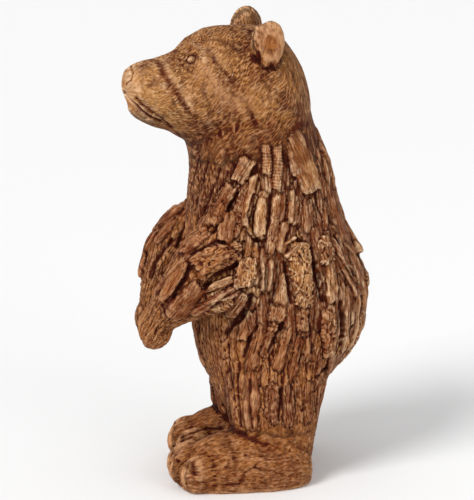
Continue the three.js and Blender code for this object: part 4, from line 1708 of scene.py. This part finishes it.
# The shade tint: painted shade on the throat, neck and low body, and the coat's darker colour elsewhere
shaded = blended(tree, layer_value("shade"), brushed.outputs["Colour"], SHADE_TINT, "MULTIPLY")
tree.links.new(shaded, shader.inputs["Base Color"])
print("Colour linked")

# %% [markdown]
# The finest fibres and strokes are too thin for the mesh, so a bump of about a millimetre carries them.
# The sheen is dull and a little uneven.

# %% Bump and sheen
BUMP_HEIGHT = 1.3
board_height = maths(
    tree, "SUBTRACT", share_of(coarse_fibre.outputs["Height"], 1.0), share_of(fibre.outputs["Streak"], 0.6)
)
carved_height = maths(tree, "SUBTRACT", share_of(short_fibre.outputs["Height"], 0.6), cuts)
height = node(tree, "Mix", {0: board_share, 2: carved_height, 3: board_height}).outputs[0]
height = maths(tree, "ADD", height, maths(tree, "MULTIPLY", speckle, 0.5))
bump = node(tree, "Bump", {"Strength": 1.0, "Distance": BUMP_HEIGHT * MM, "Height": height})
tree.links.new(bump.outputs["Normal"], shader.inputs["Normal"])
sheen = node(tree, "MapRange", {
    "Value": mottle, "From Min": 0.3, "From Max": 0.7, "To Min": 0.5, "To Max": 0.72,
})
tree.links.new(sheen.outputs["Result"], shader.inputs["Roughness"])

bear.data.materials.clear()
bear.data.materials.append(finish)
deselect()
bear.select_set(True)
bpy.context.view_layer.objects.active = bear
bpy.ops.object.shade_smooth()
print("Finish:", len(tree.nodes), "nodes")

# %% [markdown]
# ## Place it in the frame
# The casting stands for the CAD's one solid.

# %% Frame
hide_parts("bear")
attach(bear, "root")
print("Placed:", bear.name)

# %% [markdown]
# ## Studio
# The photo has plain white light all round and a pale floor. A wide soft sun from the front left is the
# key light, and a broad lamp fills the side that the camera sees. The sky is dimmer as a light than as a
# backdrop, so that the hollows keep their depth.

# %% Floor, sky and lamps
FLOOR_SIZE = 16
SKY_LIGHT, SKY_SEEN = 0.62, 1.0
bpy.context.scene.view_settings.view_transform = "Standard"
deselect()
bpy.ops.mesh.primitive_plane_add(size=FLOOR_SIZE, location=(0, 0, 0))
floor = bpy.context.object
floor.name = "floor"
paper = bpy.data.materials.new("white paper")
paper.use_nodes = True
paper_shader = paper.node_tree.nodes["Principled BSDF"]
paper_shader.inputs["Base Color"].default_value = (0.9, 0.9, 0.9, 1)
paper_shader.inputs["Roughness"].default_value = 0.9
floor.data.materials.append(paper)

world = bpy.context.scene.world or bpy.data.worlds.new("studio")
bpy.context.scene.world = world
world.use_nodes = True
sky = world.node_tree
backdrop = sky.nodes["Background"]
backdrop.inputs["Color"].default_value = (1, 1, 1, 1)
seen = sky.nodes.new("ShaderNodeLightPath").outputs["Is Camera Ray"]
strength = sky.nodes.new("ShaderNodeMapRange")
strength.inputs["To Min"].default_value = SKY_LIGHT
strength.inputs["To Max"].default_value = SKY_SEEN
sky.links.new(seen, strength.inputs["Value"])
sky.links.new(strength.outputs["Result"], backdrop.inputs["Strength"])


def shone_from(place, kind, name):
    """A lamp that points at the middle of the ground."""
    deselect()
    bpy.ops.object.light_add(
        type=kind, location=place, rotation=Vector(place).to_track_quat("Z", "Y").to_euler()
    )
    light = bpy.context.object
    light.name = name
    return light.data


key = shone_from((1.0, -1.7, 1.75), "SUN", "key")
key.energy = 2.1
key.angle = math.radians(24)
fill = shone_from((2.2, 0.9, 0.9), "AREA", "fill")
fill.size, fill.energy = 1.4, 12
print("Scene made in", round(time.time() - STARTED, 1), "s")
